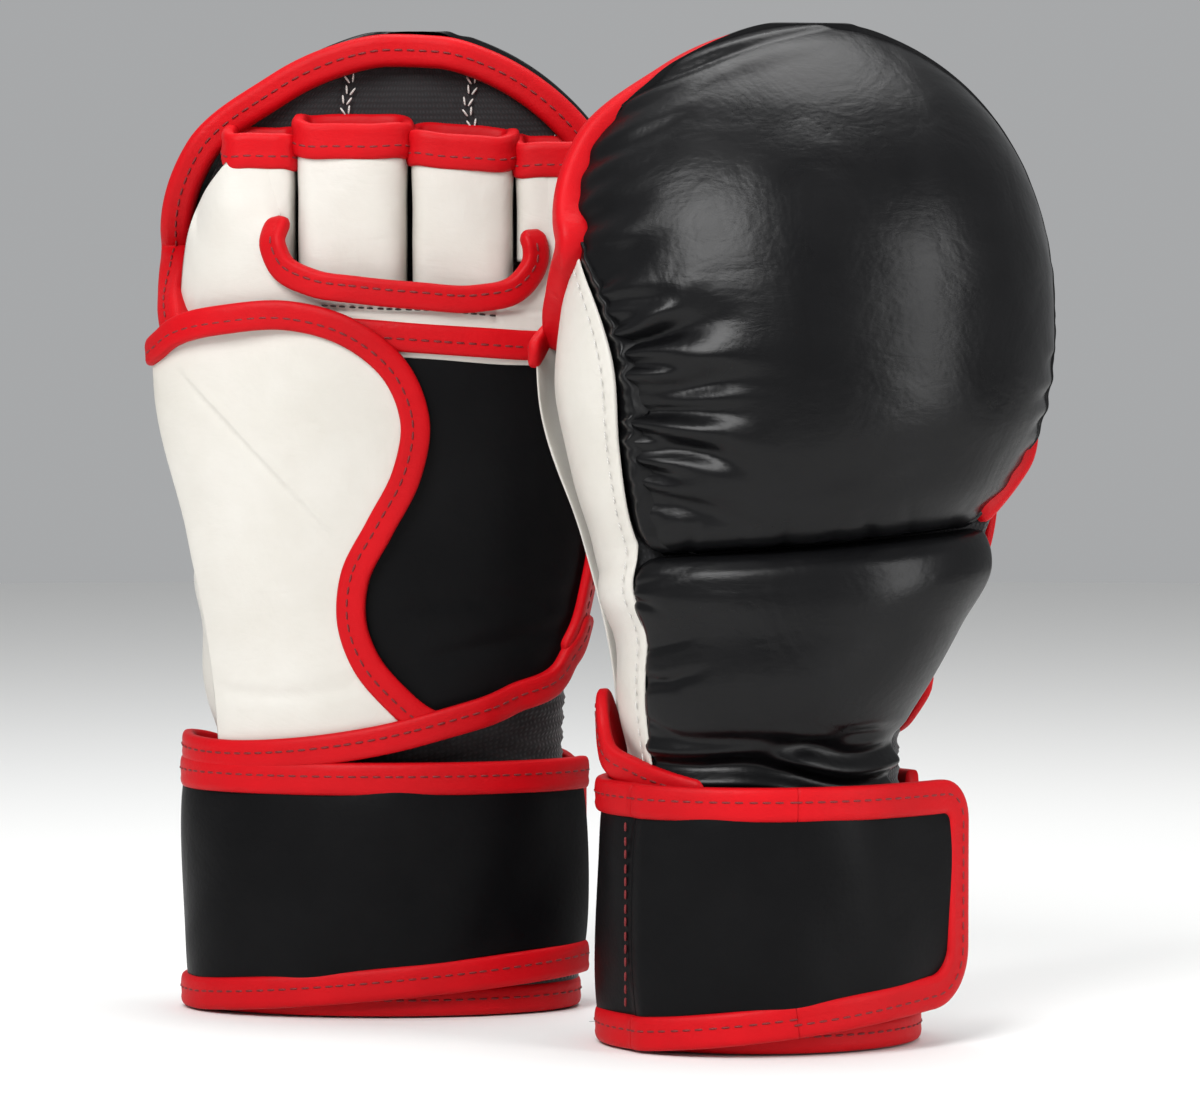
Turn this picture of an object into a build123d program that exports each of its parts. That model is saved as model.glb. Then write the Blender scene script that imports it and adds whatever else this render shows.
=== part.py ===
from build123d import *

import os
from math import cos, radians, sin
from typing import NamedTuple

# A pair of padded grappling gloves, standing side by side on their cuffs.
# Each glove is built as a right-hand glove in its own frame: palm towards -Y, back towards +Y,
# little finger side at -X, thumb at +X, cuff on Z = 0. The left-hand glove is the same
# construction mirrored front to back and wrapped tighter at the wrist. Millimetres.

# Sheet stock and clearances
leather = 1.6  # skins, panels and finger loops
lining_cloth = 1.2
seam_gap = 0.3  # between pieces that lie against each other
binding_proud = 1.4  # how far a folded edge tape stands off the panel it covers
binding_width = 9.0

# Hand envelope above the cuff
crease_height = 138.0  # fold between the knuckle pad and the hand-back pad
finger_base = 215.0  # where the palm opens into the finger loops
cavity_top = 262.0
dome_top = 282.0
palm_middle = -12.0  # Y of the widest line of the hand envelope
grip_depth = 40.0  # palm side of the finger panel lies this far in front of Y = 0
knuckle_back = 47.0  # furthest point of the knuckle pad behind Y = 0

# Cuff and strap
cuff_top = 98.0
cuff_pad_top = 59.0
cuff_skin = 2.0
strap_thickness = 2.4
strap_top = 74.0
strap_bottom = 1.0
strap_rise = 9.0  # the strap's lower edge climbs this much towards the thumb
patch_thickness = 1.1  # hook tape and loop tape
patch_height = 44.0
strap_corner = 13.0

# Finger loops: centre X, width, lower end
loop_gap = 0.6
loop_top = 243.0
loop_binding_height = 11.0
loop_corner = 6.0
loop_lean = 2.6  # the loops' edge tapes stand this far towards the palm
loops = {
    "little": dict(centre=-35.5, width=21.0, front=-34.0, back=-8.4, low=224.5),
    "ring": dict(centre=-8.5, width=31.0, front=-35.0, back=-7.6, low=208.0),
    "middle": dict(centre=23.0, width=30.0, front=-34.2, back=-7.6, low=208.0),
    "index": dict(centre=49.5, width=21.0, front=-34.0, back=-8.4, low=224.5),
}
grip_left, grip_right, grip_low = -27.0, 40.0, 209.0
finger_panel_low = 195.0
finger_panel_top = 224.0

# Palm
palm_edge = -17.0  # Y where the palm pieces stop on the thumb side
gusset_edge = -16.0  # Y where the little finger gusset starts
gusset_top = 222.0
gusset_side = -30.0  # the gusset lies on the little finger side of this X
palm_top = finger_panel_low - seam_gap
hem_line = [(-95, 76), (-52, 74), (-10, 79), (25, 87), (62, 103), (95, 122)]
flap_curve = [
    (-34, 200), (-12, 198), (4, 187), (8.5, 171), (5, 156), (-4, 141),
    (-9, 124), (-7, 109), (0, 96), (12, 82), (20, 70),
]
flap_side = -90.0  # X past which the flap's outline runs, on the little finger side
seam_line = [(13, 60), (13, crease_height), (2, 170), (-6, 200), (-8, 235), (-11, 258), (-14, 300)]

binding_half = binding_width / 2
hood_tape_depth = 3.0  # the hood's tape reaches this far into the pad
tape_back = 0.8  # how far an edge tape stands off the inner face of its panel
grip_tape = 7.0
grip_corner = 13.0
flap_lift = 1.8  # inner face of the palm flap, off the palm panel

# Layers round the cuff, measured outwards from the hand envelope
cuff_inset = 2.6
cuff_outside = 1.9
cuff_tape_height = 8.0
floor_clearance = 0.4
wrap_lift = 0.9
wrap_thickness = 3.2
wrap_tape_proud = 0.6
strap_lift = cuff_outside + 3 * seam_gap + 2 * patch_thickness  # both tapes lie under the strap
strap_outside = strap_lift + strap_thickness
strap_tape_proud = 0.9  # the strap's edge tape stands off both of its faces

# Angles round the cuff, from the thumb side through the back
strap_straight = 60.0  # the free end runs straight from here
tip_start = 92.0
tip_gap = 1.0
strap_end = 150.0  # stitch line where the moving strap meets the wrap
tip_size = tip_start - strap_straight
moving_start = tip_start + tip_gap
moving_size = strap_end - moving_start
wrap_start = strap_end + 1.5
wrap_size = 195.0

outer_reach = 200.0  # cutters run this far past the glove


class Wrist(NamedTuple):
    """How one glove is wrapped: X of the little finger and thumb sides, and the depth of its cuff."""

    side: str
    little: float
    thumb: float
    depth: float
    tab: float  # the strap's free end stands this far past its straight start


wrists = [
    Wrist("right", little=-53.0, thumb=54.0, depth=60.0, tab=30.0),
    Wrist("left", little=-46.0, thumb=36.0, depth=68.0, tab=34.0),
]
pair_spacing_x = 113.0
pair_spacing_y = -76.0
left_turn = 12.0  # the left glove is turned this much about Z, in degrees


def outline(x_little, x_thumb, y_palm, y_back, y_middle, grow):
    """Closed outline of two half ellipses that meet at the widest line."""
    half = (x_thumb - x_little) / 2 + grow
    centre = ((x_little + x_thumb) / 2, y_middle)
    with BuildLine() as line:
        EllipticalCenterArc(centre, half, y_back - y_middle + grow, 0, arc_size=180)
        EllipticalCenterArc(centre, half, y_middle - y_palm + grow, 180, arc_size=180)
    return line


def loft_levels(levels, grow):
    """Solid through outlines at rising levels, each grown outwards by grow."""
    with BuildPart() as solid:
        for z, *sides in levels:
            line = outline(*sides, grow)
            with BuildSketch(Plane.XY.offset(z)):
                add(line.line)
                make_face()
        loft()
    return solid.part


def hand_levels(wrist, grow=0.0):
    """Outer face of the lining: the space that the hand fills, from the cuff to the fingertips."""
    half = wrist.depth / 2
    return [
        (cuff_pad_top, wrist.little, wrist.thumb, -half, half, 0),
        (90, wrist.little, wrist.thumb + 1, -31, 24, -2),
        (crease_height, (wrist.little - 57) / 2, 63, -34, 16, -8),
        (178, -60, 66, -37, 8, palm_middle),
        (finger_base, -58, 66, -grip_depth, -5, palm_middle),
        (240, -53, 63, -38, -5, palm_middle),
        (cavity_top + grow, -42, 53, -30, -6, palm_middle),
    ]


def pad_levels(wrist):
    """Outer face of the hand-back pad, down to the cuff."""
    half = wrist.depth / 2
    thumb = wrist.thumb
    return [
        (cuff_pad_top, wrist.little, thumb, -half, half, 0),
        (80, wrist.little, thumb + 1, -half, 29, 0),
        (92, wrist.little - 1, thumb + 5, -half, 37, 0),
        (114, wrist.little - 2, (thumb + 68) / 2, -half, 41, 0),
        (131, (wrist.little - 60) / 2, 66, -half, 39, 0),
        (crease_height, (wrist.little - 60) / 2, 66, -half, 33, 0),
    ]


def dome_levels():
    """Outer face of the knuckle pad, which curls over the fingertips."""
    return [
        (crease_height + 1, -57, 64, -30, 34, palm_middle),
        (147, -60, 68, -30, knuckle_back - 5, palm_middle),
        (168, -64, 72, -30, knuckle_back, palm_middle),
        (195, -66, 75, -30, knuckle_back, palm_middle),
        (218, -63, 73, -30, knuckle_back - 5, palm_middle),
        (238, -56, 68, -30, knuckle_back - 13, palm_middle),
        (256, -44, 58, -30, knuckle_back - 26, palm_middle),
        (269, -29, 46, -30, knuckle_back - 39, palm_middle),
        (278, -12, 31, -25, knuckle_back - 50, palm_middle),
        (dome_top, 1, 20, -19, knuckle_back - 53, palm_middle),
    ]


def shell(levels, outside, inside):
    """Skin between two grown copies of the same lofted envelope."""
    with BuildPart() as skin:
        add(loft_levels(levels, outside))
        add(loft_levels(levels, inside), mode=Mode.SUBTRACT)
    return skin.part


def behind(line, shift):
    """Space behind a side-view line, moved back by shift: it holds what belongs to the glove's back."""
    points = [(y + shift, z) for y, z in line]
    with BuildPart() as space:
        with BuildSketch(Plane.YZ):
            with BuildLine():
                Polyline(*points, (outer_reach, points[-1][1]), (outer_reach, points[0][1]), close=True)
            make_face()
        extrude(amount=outer_reach, both=True)
    return space.part


def slab(x=(-outer_reach, outer_reach), y=(-outer_reach, outer_reach), z=(-outer_reach, 2 * outer_reach)):
    """Plain block between limits."""
    with BuildPart() as block:
        with Locations(((x[0] + x[1]) / 2, (y[0] + y[1]) / 2, (z[0] + z[1]) / 2)):
            Box(x[1] - x[0], y[1] - y[0], z[1] - z[0])
    return block.part


def front_region(edges):
    """Space seen from the palm through a closed front-view outline, given as a BuildLine."""
    with BuildPart() as space:
        with BuildSketch(Plane.XZ):
            add(edges.line)
            make_face()
        extrude(amount=outer_reach, both=True)
    return space.part


def hem_edges(low, high):
    """Front-view band along the hem line, from low to high measured upwards from it."""
    with BuildLine() as edges:
        lower = Spline(*[(x, z + low) for x, z in hem_line])
        upper = Spline(*[(x, z + high) for x, z in hem_line])
        Line(lower @ 0, upper @ 0)
        Line(lower @ 1, upper @ 1)
    return edges


def flap_edges(inset):
    """Front-view outline of the palm flap, whose S edge is drawn in by inset."""
    top = flap_curve[0][1] - 12 - inset
    with BuildLine() as edges:
        curve = Spline(*[(x - inset, z - (inset if z > 190 else 0)) for x, z in flap_curve])
        Polyline(curve @ 1, (flap_side, flap_curve[-1][1]), (flap_side, top), curve @ 0)
    return edges


def knuckle_shell(wrist):
    with BuildPart() as part:
        add(shell(dome_levels(), 0, -leather))
        add(behind(seam_line, binding_width + seam_gap), mode=Mode.INTERSECT)
    return part.part


def hood_ring(outside, inside, depth, shift=0.0):
    """Band that follows the hood's rim."""
    with BuildPart() as part:
        add(shell(dome_levels(), outside, inside))
        add(behind(seam_line, shift), mode=Mode.INTERSECT)
        add(behind(seam_line, depth), mode=Mode.SUBTRACT)
        add(slab(z=(crease_height + 2, outer_reach * 2)), mode=Mode.INTERSECT)
    return part.part


def hood_tape_room():
    """Space that the pieces under the hood's tape leave free for it."""
    return hood_ring(2 * binding_proud, -hood_tape_depth - seam_gap, binding_width + seam_gap, -1)


def hood_binding(wrist):
    return hood_ring(binding_proud, -hood_tape_depth, binding_width)


def knuckle_foam(wrist):
    with BuildPart() as part:
        add(loft_levels(dome_levels(), -leather - seam_gap))
        add(loft_levels(hand_levels(wrist, seam_gap), seam_gap), mode=Mode.SUBTRACT)
        add(behind(seam_line, seam_gap), mode=Mode.INTERSECT)
        add(hood_tape_room(), mode=Mode.SUBTRACT)
        add(slab(z=(crease_height + 4, dome_top - leather - seam_gap)), mode=Mode.INTERSECT)
    return part.part


def hand_back_shell(wrist):
    with BuildPart() as part:
        add(shell(pad_levels(wrist), 0, -leather))
        add(loft_levels(hand_levels(wrist), seam_gap - cuff_inset), mode=Mode.SUBTRACT)
        add(behind(seam_line, 0), mode=Mode.INTERSECT)
        add(slab(z=(cuff_pad_top + seam_gap, crease_height)), mode=Mode.INTERSECT)
    # the cut along the cuff can leave a sliver behind, so only the skin itself is kept
    return max(part.part.solids(), key=lambda solid: solid.volume)


def hand_back_foam(wrist):
    with BuildPart() as part:
        add(loft_levels(pad_levels(wrist), -leather - seam_gap))
        add(loft_levels(hand_levels(wrist), seam_gap), mode=Mode.SUBTRACT)
        add(behind(seam_line, 1), mode=Mode.INTERSECT)
        add(slab(z=(90, crease_height - 2)), mode=Mode.INTERSECT)
    return part.part


def lining(wrist):
    with BuildPart() as part:
        add(loft_levels(hand_levels(wrist), 0))
        add(loft_levels(hand_levels(wrist, -lining_cloth), -lining_cloth), mode=Mode.SUBTRACT)
        add(behind(seam_line, 1), mode=Mode.INTERSECT)
        add(slab(z=(cuff_top + 2, outer_reach * 2)), mode=Mode.INTERSECT)
        add(hood_tape_room(), mode=Mode.SUBTRACT)
    return part.part


def pinky_gusset(wrist):
    """Side panel of the little finger side, from the hem up to the hood."""
    with BuildPart() as part:
        add(shell(hand_levels(wrist), 0, -leather))
        side = slab(x=(-outer_reach, gusset_side), y=(gusset_edge, outer_reach), z=(0, gusset_top))
        add(side, mode=Mode.INTERSECT)
        add(behind(seam_line, -seam_gap - 1), mode=Mode.SUBTRACT)
        add(front_region(hem_edges(binding_half + seam_gap, outer_reach)), mode=Mode.INTERSECT)
    return part.part


def grip_slot(grow):
    """Opening in the finger panel where the palm side of the two middle loops shows."""
    width = grip_right - grip_left + 2 * grow
    with BuildPart() as space:
        with BuildSketch(Plane.XZ):
            with Locations(((grip_left + grip_right) / 2, grip_low + outer_reach / 2)):
                RectangleRounded(width, outer_reach + 2 * grow, grip_corner + grow)
        extrude(amount=outer_reach, both=True)
    return space.part


def finger_panel(wrist):
    """Palm leather below the finger loops, with the grip slot cut out of its upper edge."""
    with BuildPart() as part:
        add(shell(hand_levels(wrist), 0, -leather))
        palm_side = slab(y=(-outer_reach, palm_edge), z=(finger_panel_low, finger_panel_top))
        add(palm_side, mode=Mode.INTERSECT)
        add(grip_slot(grip_tape / 2 + seam_gap), mode=Mode.SUBTRACT)
    return part.part


def grip_binding(wrist):
    with BuildPart() as part:
        add(shell(hand_levels(wrist), binding_proud, -leather - tape_back))
        add(grip_slot(grip_tape / 2), mode=Mode.INTERSECT)
        add(grip_slot(-grip_tape / 2), mode=Mode.SUBTRACT)
        add(slab(y=(-outer_reach, palm_edge), z=(0, finger_panel_top - 1)), mode=Mode.INTERSECT)
    return part.part


def finger_loop(finger):
    """Soft square tube round one finger."""
    size = loops[finger]
    width = size["width"]
    depth = size["back"] - size["front"]
    with BuildPart() as part:
        with BuildSketch(Plane.XY.offset(size["low"])):
            with Locations((size["centre"], size["back"] - depth / 2)):
                RectangleRounded(width, depth, loop_corner)
                RectangleRounded(
                    width - 2 * leather, depth - 2 * leather, loop_corner - leather, mode=Mode.SUBTRACT
                )
        extrude(amount=loop_top - size["low"])
    return part.part


def loop_bindings(wrist):
    """Edge tapes round the tops of the four finger loops."""
    with BuildPart() as part:
        for size in loops.values():
            depth = size["back"] - size["front"]
            inner = leather + tape_back
            with BuildSketch(Plane.XY.offset(loop_top + seam_gap)):
                with Locations((size["centre"], size["back"] - depth / 2 - loop_lean)):
                    RectangleRounded(size["width"] + loop_gap / 2, depth + loop_gap, loop_corner)
                    RectangleRounded(
                        size["width"] - 2 * inner, depth - 2 * inner, loop_corner - inner, mode=Mode.SUBTRACT
                    )
            extrude(amount=loop_binding_height)
    return part.part


def palm_area():
    """Space of the palm panel: palm side only, above the hem tape and below the finger panel."""
    with BuildPart() as space:
        add(front_region(hem_edges(binding_half + seam_gap, outer_reach)))
        add(slab(y=(-outer_reach, palm_edge), z=(0, palm_top)), mode=Mode.INTERSECT)
    return space.part


def palm_tape_area():
    """The part of the palm area that the tape along its top and thumb edges covers."""
    with BuildPart() as space:
        add(slab(z=(palm_top - binding_width, palm_top)))
        add(slab(x=(0, outer_reach), y=(palm_edge - binding_width, outer_reach)))
    return space.part


def palm_panel(wrist):
    with BuildPart() as part:
        add(shell(hand_levels(wrist), 0, -leather))
        add(palm_area(), mode=Mode.INTERSECT)
        below_tape = slab(y=(-outer_reach, palm_edge), z=(0, palm_top - binding_width - seam_gap))
        add(below_tape, mode=Mode.INTERSECT)
        thumb_strip = slab(x=(0, outer_reach), y=(palm_edge - binding_width - seam_gap, outer_reach))
        add(thumb_strip, mode=Mode.SUBTRACT)
    return part.part


def palm_binding(wrist):
    with BuildPart() as part:
        add(shell(hand_levels(wrist), binding_proud, -leather - tape_back / 2))
        add(palm_area(), mode=Mode.INTERSECT)
        add(palm_tape_area(), mode=Mode.INTERSECT)
    return part.part


def hem_binding(wrist):
    """Tape along the lower edge of the palm, round the little finger side."""
    with BuildPart() as part:
        add(shell(hand_levels(wrist), binding_proud, -leather - tape_back / 2))
        add(front_region(hem_edges(-binding_half, binding_half)), mode=Mode.INTERSECT)
        front = seam_line[0][0] - 1.5
        below_seam = slab(y=(-outer_reach, front), z=(strap_top + seam_gap, outer_reach))
        add(below_seam, mode=Mode.INTERSECT)
        add(slab(x=(0, outer_reach), y=(palm_edge, outer_reach)), mode=Mode.SUBTRACT)
    return part.part


def flap_area(inset):
    with BuildPart() as space:
        add(front_region(flap_edges(inset)))
        add(front_region(hem_edges(binding_half + seam_gap, outer_reach)), mode=Mode.INTERSECT)
        add(slab(y=(-outer_reach, palm_edge)), mode=Mode.INTERSECT)
    return space.part


def palm_flap(wrist):
    """White overlay of the palm, from the little finger side to its S-shaped edge."""
    with BuildPart() as part:
        add(shell(hand_levels(wrist), flap_lift + leather, flap_lift))
        add(flap_area(binding_width + seam_gap), mode=Mode.INTERSECT)
    return part.part


def palm_flap_binding(wrist):
    with BuildPart() as part:
        add(shell(hand_levels(wrist), flap_lift + leather + binding_proud, flap_lift - seam_gap / 2))
        add(flap_area(0), mode=Mode.INTERSECT)
        add(flap_area(binding_width), mode=Mode.SUBTRACT)
    return part.part


def cuff_ellipse(wrist, grow):
    """Centre and radii of the cuff's outline, grown outwards."""
    half_width = (wrist.thumb - wrist.little) / 2 + grow
    return ((wrist.thumb + wrist.little) / 2, 0), half_width, wrist.depth / 2 + grow


def cuff_ring(wrist, outside, inside, low, high):
    with BuildPart() as ring:
        for grow, mode in ((outside, Mode.ADD), (inside, Mode.SUBTRACT)):
            centre, half_width, half_depth = cuff_ellipse(wrist, grow)
            with BuildSketch(Plane.XY.offset(low)):
                with Locations(centre):
                    Ellipse(half_width, half_depth)
            extrude(amount=high - low, mode=mode)
    return ring.part


def cuff(wrist):
    """Padded wrist tube: thick under the strap and a plain skin above it, which climbs to the thumb."""
    inside = -cuff_inset - cuff_skin
    with BuildPart() as part:
        add(loft_levels(hand_levels(wrist), -cuff_inset))
        add(loft_levels(hand_levels(wrist), inside), mode=Mode.SUBTRACT)
        with BuildSketch(Plane.XZ):
            with BuildLine():
                Polyline(
                    (-outer_reach, cuff_pad_top), (outer_reach, cuff_pad_top), (outer_reach, cuff_top + 25),
                    (70, cuff_top + 6), (-70, cuff_top - 24), (-outer_reach, cuff_top - 24), close=True,
                )
            make_face()
        extrude(amount=outer_reach, both=True, mode=Mode.INTERSECT)
        add(cuff_ring(wrist, cuff_outside, inside, cuff_tape_height + seam_gap, cuff_pad_top))
        add(cuff_ring(wrist, cuff_outside - leather, inside, 0, cuff_tape_height + seam_gap))
    return part.part


def cuff_binding(wrist):
    inside = cuff_outside - leather + seam_gap
    return cuff_ring(wrist, cuff_outside, inside, floor_clearance, cuff_tape_height)


def strap_sheet(wrist, grow, thickness, start, size, tab=0.0):
    """Upright sheet round the cuff from angle start through size, then straight on for tab."""
    centre, half_width, half_depth = cuff_ellipse(wrist, grow + thickness / 2)
    with BuildPart() as sheet:
        with BuildSketch():
            with BuildLine() as path:
                arc = EllipticalCenterArc(centre, half_width, half_depth, start, arc_size=size)
                if tab:
                    Line(arc @ 0, (arc @ 0) - (arc % 0) * tab)
            trace(path.line, line_width=thickness)
        extrude(amount=strap_top + strap_bottom)
    return sheet.part


def strap_area(wrist, inset):
    """Front-view outline of the strap, drawn in by inset: it climbs to a rounded end by the thumb."""
    centre, half_width, half_depth = cuff_ellipse(wrist, strap_lift + strap_thickness / 2)
    turn = radians(strap_straight)
    tangent = Vector(half_width * sin(turn), -half_depth * cos(turn)).normalized()
    end_x = centre[0] + half_width * cos(turn) + wrist.tab * tangent.X
    far = -1.5 * outer_reach
    slope = strap_rise / (wrist.thumb - wrist.little)
    low_left = strap_bottom + slope * (far - wrist.little)
    low_right = strap_bottom + slope * (end_x - wrist.little)
    with BuildPart() as space:
        with BuildSketch(Plane.XZ) as outline_sketch:
            with BuildLine():
                Polyline(
                    (far, low_left), (end_x, low_right), (end_x, strap_top), (far, strap_top), close=True
                )
            make_face()
            fillet(outline_sketch.vertices().group_by(Axis.X)[-1], strap_corner)
            if inset:
                offset(amount=-inset, mode=Mode.REPLACE)
        extrude(amount=outer_reach, both=True)
    return space.part


def strap_piece(wrist, outside, inside, start, size, tab, edge):
    """One stretch of the strap: its leather, or the tape round its edge when edge is true."""
    with BuildPart() as part:
        add(strap_sheet(wrist, inside, outside - inside, start, size, tab))
        if edge:
            add(strap_area(wrist, 0), mode=Mode.INTERSECT)
            add(strap_area(wrist, binding_width), mode=Mode.SUBTRACT)
        else:
            add(strap_area(wrist, binding_width + seam_gap), mode=Mode.INTERSECT)
    return part.part


def wrist_wrap(wrist):
    inside = cuff_outside + wrap_lift
    return strap_piece(wrist, inside + wrap_thickness, inside, wrap_start, wrap_size, 0, False)


def wrist_wrap_bindings(wrist):
    inside = cuff_outside + seam_gap
    outside = inside + wrap_lift + wrap_thickness + wrap_tape_proud
    return strap_piece(wrist, outside, inside, wrap_start, wrap_size, 0, True)


def strap(wrist):
    return strap_piece(wrist, strap_outside, strap_lift, moving_start, moving_size, 0, False)


def strap_bindings(wrist):
    outside = strap_outside + strap_tape_proud
    return strap_piece(wrist, outside, strap_lift - strap_tape_proud, moving_start, moving_size, 0, True)


def strap_tip(wrist):
    return strap_piece(wrist, strap_outside, strap_lift, strap_straight, tip_size, wrist.tab, False)


def strap_tip_binding(wrist):
    outside = strap_outside + strap_tape_proud
    inside = strap_lift - strap_tape_proud
    return strap_piece(wrist, outside, inside, strap_straight, tip_size, wrist.tab, True)


def patch(wrist, grow):
    """Hook or loop tape under the strap's free end."""
    with BuildPart() as part:
        add(strap_sheet(wrist, grow, patch_thickness, strap_straight + 1, tip_start - strap_straight - 2))
        middle = (strap_top + strap_bottom + strap_rise) / 2
        add(slab(z=(middle - patch_height / 2, middle + patch_height / 2)), mode=Mode.INTERSECT)
    return part.part


def loop_patch(wrist):
    return patch(wrist, cuff_outside + seam_gap)


def hook_patch(wrist):
    return patch(wrist, strap_lift - seam_gap - patch_thickness)


sub_parts = {
    "knuckle_shell": knuckle_shell,
    "hood_binding": hood_binding,
    "knuckle_foam": knuckle_foam,
    "hand_back_shell": hand_back_shell,
    "hand_back_foam": hand_back_foam,
    "lining": lining,
    "pinky_gusset": pinky_gusset,
    "finger_panel": finger_panel,
    "grip_binding": grip_binding,
    "loop_bindings": loop_bindings,
    "palm_panel": palm_panel,
    "palm_binding": palm_binding,
    "hem_binding": hem_binding,
    "palm_flap": palm_flap,
    "palm_flap_binding": palm_flap_binding,
    "cuff": cuff,
    "cuff_binding": cuff_binding,
    "wrist_wrap": wrist_wrap,
    "wrist_wrap_bindings": wrist_wrap_bindings,
    "loop_patch": loop_patch,
    "strap": strap,
    "strap_bindings": strap_bindings,
    "strap_tip": strap_tip,
    "strap_tip_binding": strap_tip_binding,
    "hook_patch": hook_patch,
}
for finger in loops:
    sub_parts[f"{finger}_loop"] = lambda wrist, finger=finger: finger_loop(finger)


def placement(wrist):
    """Where a glove stands next to the right-hand one."""
    if wrist.side == "right":
        return Location()
    return Location((pair_spacing_x, pair_spacing_y, 0), (0, 0, left_turn))


def build(wrist, name):
    piece = sub_parts[name](wrist)
    if wrist.side == "left":
        piece = piece.mirror(Plane.XZ)
    return piece.moved(placement(wrist))


def build_all():
    """Every piece of both gloves by name, moved so that the pair stands on the centre of its footprint."""
    pieces = {f"{wrist.side}_{name}": build(wrist, name) for wrist in wrists for name in sub_parts}
    box = Compound(list(pieces.values())).bounding_box()
    to_origin = Location((-(box.min.X + box.max.X) / 2, -(box.min.Y + box.max.Y) / 2, -box.min.Z))
    return {label: piece.moved(to_origin) for label, piece in pieces.items()}


def main():
    os.makedirs("parts", exist_ok=True)
    for label, piece in build_all().items():
        piece.label = label
        export_step(piece, f"parts/{label}.step")


if __name__ == "__main__":
    main()
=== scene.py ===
import math
import bmesh
import bpy
import numpy as np
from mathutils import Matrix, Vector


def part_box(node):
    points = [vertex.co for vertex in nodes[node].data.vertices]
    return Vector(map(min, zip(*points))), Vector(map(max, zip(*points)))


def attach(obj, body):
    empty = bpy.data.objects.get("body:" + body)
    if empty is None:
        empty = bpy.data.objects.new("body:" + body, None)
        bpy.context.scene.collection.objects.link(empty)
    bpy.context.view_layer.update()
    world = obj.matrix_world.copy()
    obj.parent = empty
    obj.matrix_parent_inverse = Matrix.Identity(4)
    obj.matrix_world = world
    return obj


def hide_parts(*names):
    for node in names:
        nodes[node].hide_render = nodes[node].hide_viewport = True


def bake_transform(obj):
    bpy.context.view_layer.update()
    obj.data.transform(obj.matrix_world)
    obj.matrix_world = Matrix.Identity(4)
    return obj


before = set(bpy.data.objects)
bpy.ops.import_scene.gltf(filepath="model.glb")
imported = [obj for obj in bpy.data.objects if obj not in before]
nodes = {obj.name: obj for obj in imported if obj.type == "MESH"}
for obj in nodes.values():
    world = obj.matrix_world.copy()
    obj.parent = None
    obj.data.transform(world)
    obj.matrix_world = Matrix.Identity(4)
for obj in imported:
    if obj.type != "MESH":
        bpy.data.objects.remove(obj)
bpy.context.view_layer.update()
print("frame loaded:", len(nodes), "nodes")

# All shapes are worked out in a glove's own frame, in metres: x from the little finger (-) to the
# thumb (+), y from the palm (-) to the back of the hand (+), z up from the edge of the cuff.
gloves = {
    "right": {
        "little": -0.053, "thumb": 0.054, "depth": 0.060, "tab": 0.030, "turn": 0.0, "mirror": 1,
        "seed": 11,
        "sideHem": [
            (160, 0.0752), (172, 0.0757), (184, 0.0762), (196, 0.0752), (208, 0.0728), (220, 0.0700)
        ]
    },
    "left": {
        "little": -0.046, "thumb": 0.036, "depth": 0.068, "tab": 0.034, "turn": math.radians(12),
        "mirror": -1, "seed": 5,
        "sideHem": [
            (150, 0.0850), (160, 0.0930), (169, 0.0915), (177, 0.0845), (187, 0.0790), (201, 0.0755),
            (217, 0.0728), (236, 0.0700)
        ]
    }
}
for side, glove in gloves.items():
    low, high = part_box(side + "_cuff_binding")
    middle = (glove["thumb"] + glove["little"]) / 2
    glove["place"] = (
        (low[0] + high[0]) / 2 - middle * math.cos(glove["turn"]),
        (low[1] + high[1]) / 2 - middle * math.sin(glove["turn"])
    )


def toFrame(side, points):
    # the left glove is mirrored front to back, then each glove is turned about z and put in its place
    glove = gloves[side]
    x, y, z = points[..., 0], points[..., 1] * glove["mirror"], points[..., 2]
    c, s = math.cos(glove["turn"]), math.sin(glove["turn"])
    return xyz(x * c - y * s + glove["place"][0], x * s + y * c + glove["place"][1], z)


def smoothCurve(knots, values, at):
    # cubic Hermite curve through the knots; the slope at a knot comes from its two neighbours
    knots, values = np.asarray(knots, float), np.asarray(values, float)
    at = np.clip(at, knots[0], knots[-1])
    slope = np.gradient(values, knots)
    i = np.clip(np.searchsorted(knots, at, side="right") - 1, 0, len(knots) - 2)
    span = knots[i + 1] - knots[i]
    t = (at - knots[i]) / span
    return (
        (2 * t**3 - 3 * t**2 + 1) * values[i] + (t**3 - 2 * t**2 + t) * span * slope[i]
        + (3 * t**2 - 2 * t**3) * values[i + 1] + (t**3 - t**2) * span * slope[i + 1]
    )


def pathThrough(controls, spacing=0.001):
    # smooth line through control points, with its points evenly spaced along its length
    controls = np.asarray(controls, float)
    chord = np.concatenate([[0], np.cumsum(np.linalg.norm(np.diff(controls, axis=0), axis=1))])
    dense = np.linspace(0, chord[-1], 600)
    line = np.stack([smoothCurve(chord, controls[:, k], dense) for k in range(controls.shape[1])], -1)
    return evenly(line, spacing)


def evenly(line, spacing):
    # the same line with points at one spacing
    length = np.concatenate([[0], np.cumsum(np.linalg.norm(np.diff(line, axis=0), axis=1))])
    at = np.linspace(0, length[-1], max(int(round(length[-1] / spacing)), 2) + 1)
    return np.stack([np.interp(at, length, line[:, k]) for k in range(line.shape[1])], -1)


def xyz(x, y, z):
    return np.stack(np.broadcast_arrays(x, y, z), -1)


def unit(v):
    return v / np.maximum(np.linalg.norm(v, axis=-1, keepdims=True), 1e-12)


def smoothStep(low, high, x):
    t = np.clip((x - low) / (high - low), 0, 1)
    return t * t * (3 - 2 * t)


def bump(x, centre, width):
    return np.exp(-(((x - centre) / width) ** 2))


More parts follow.
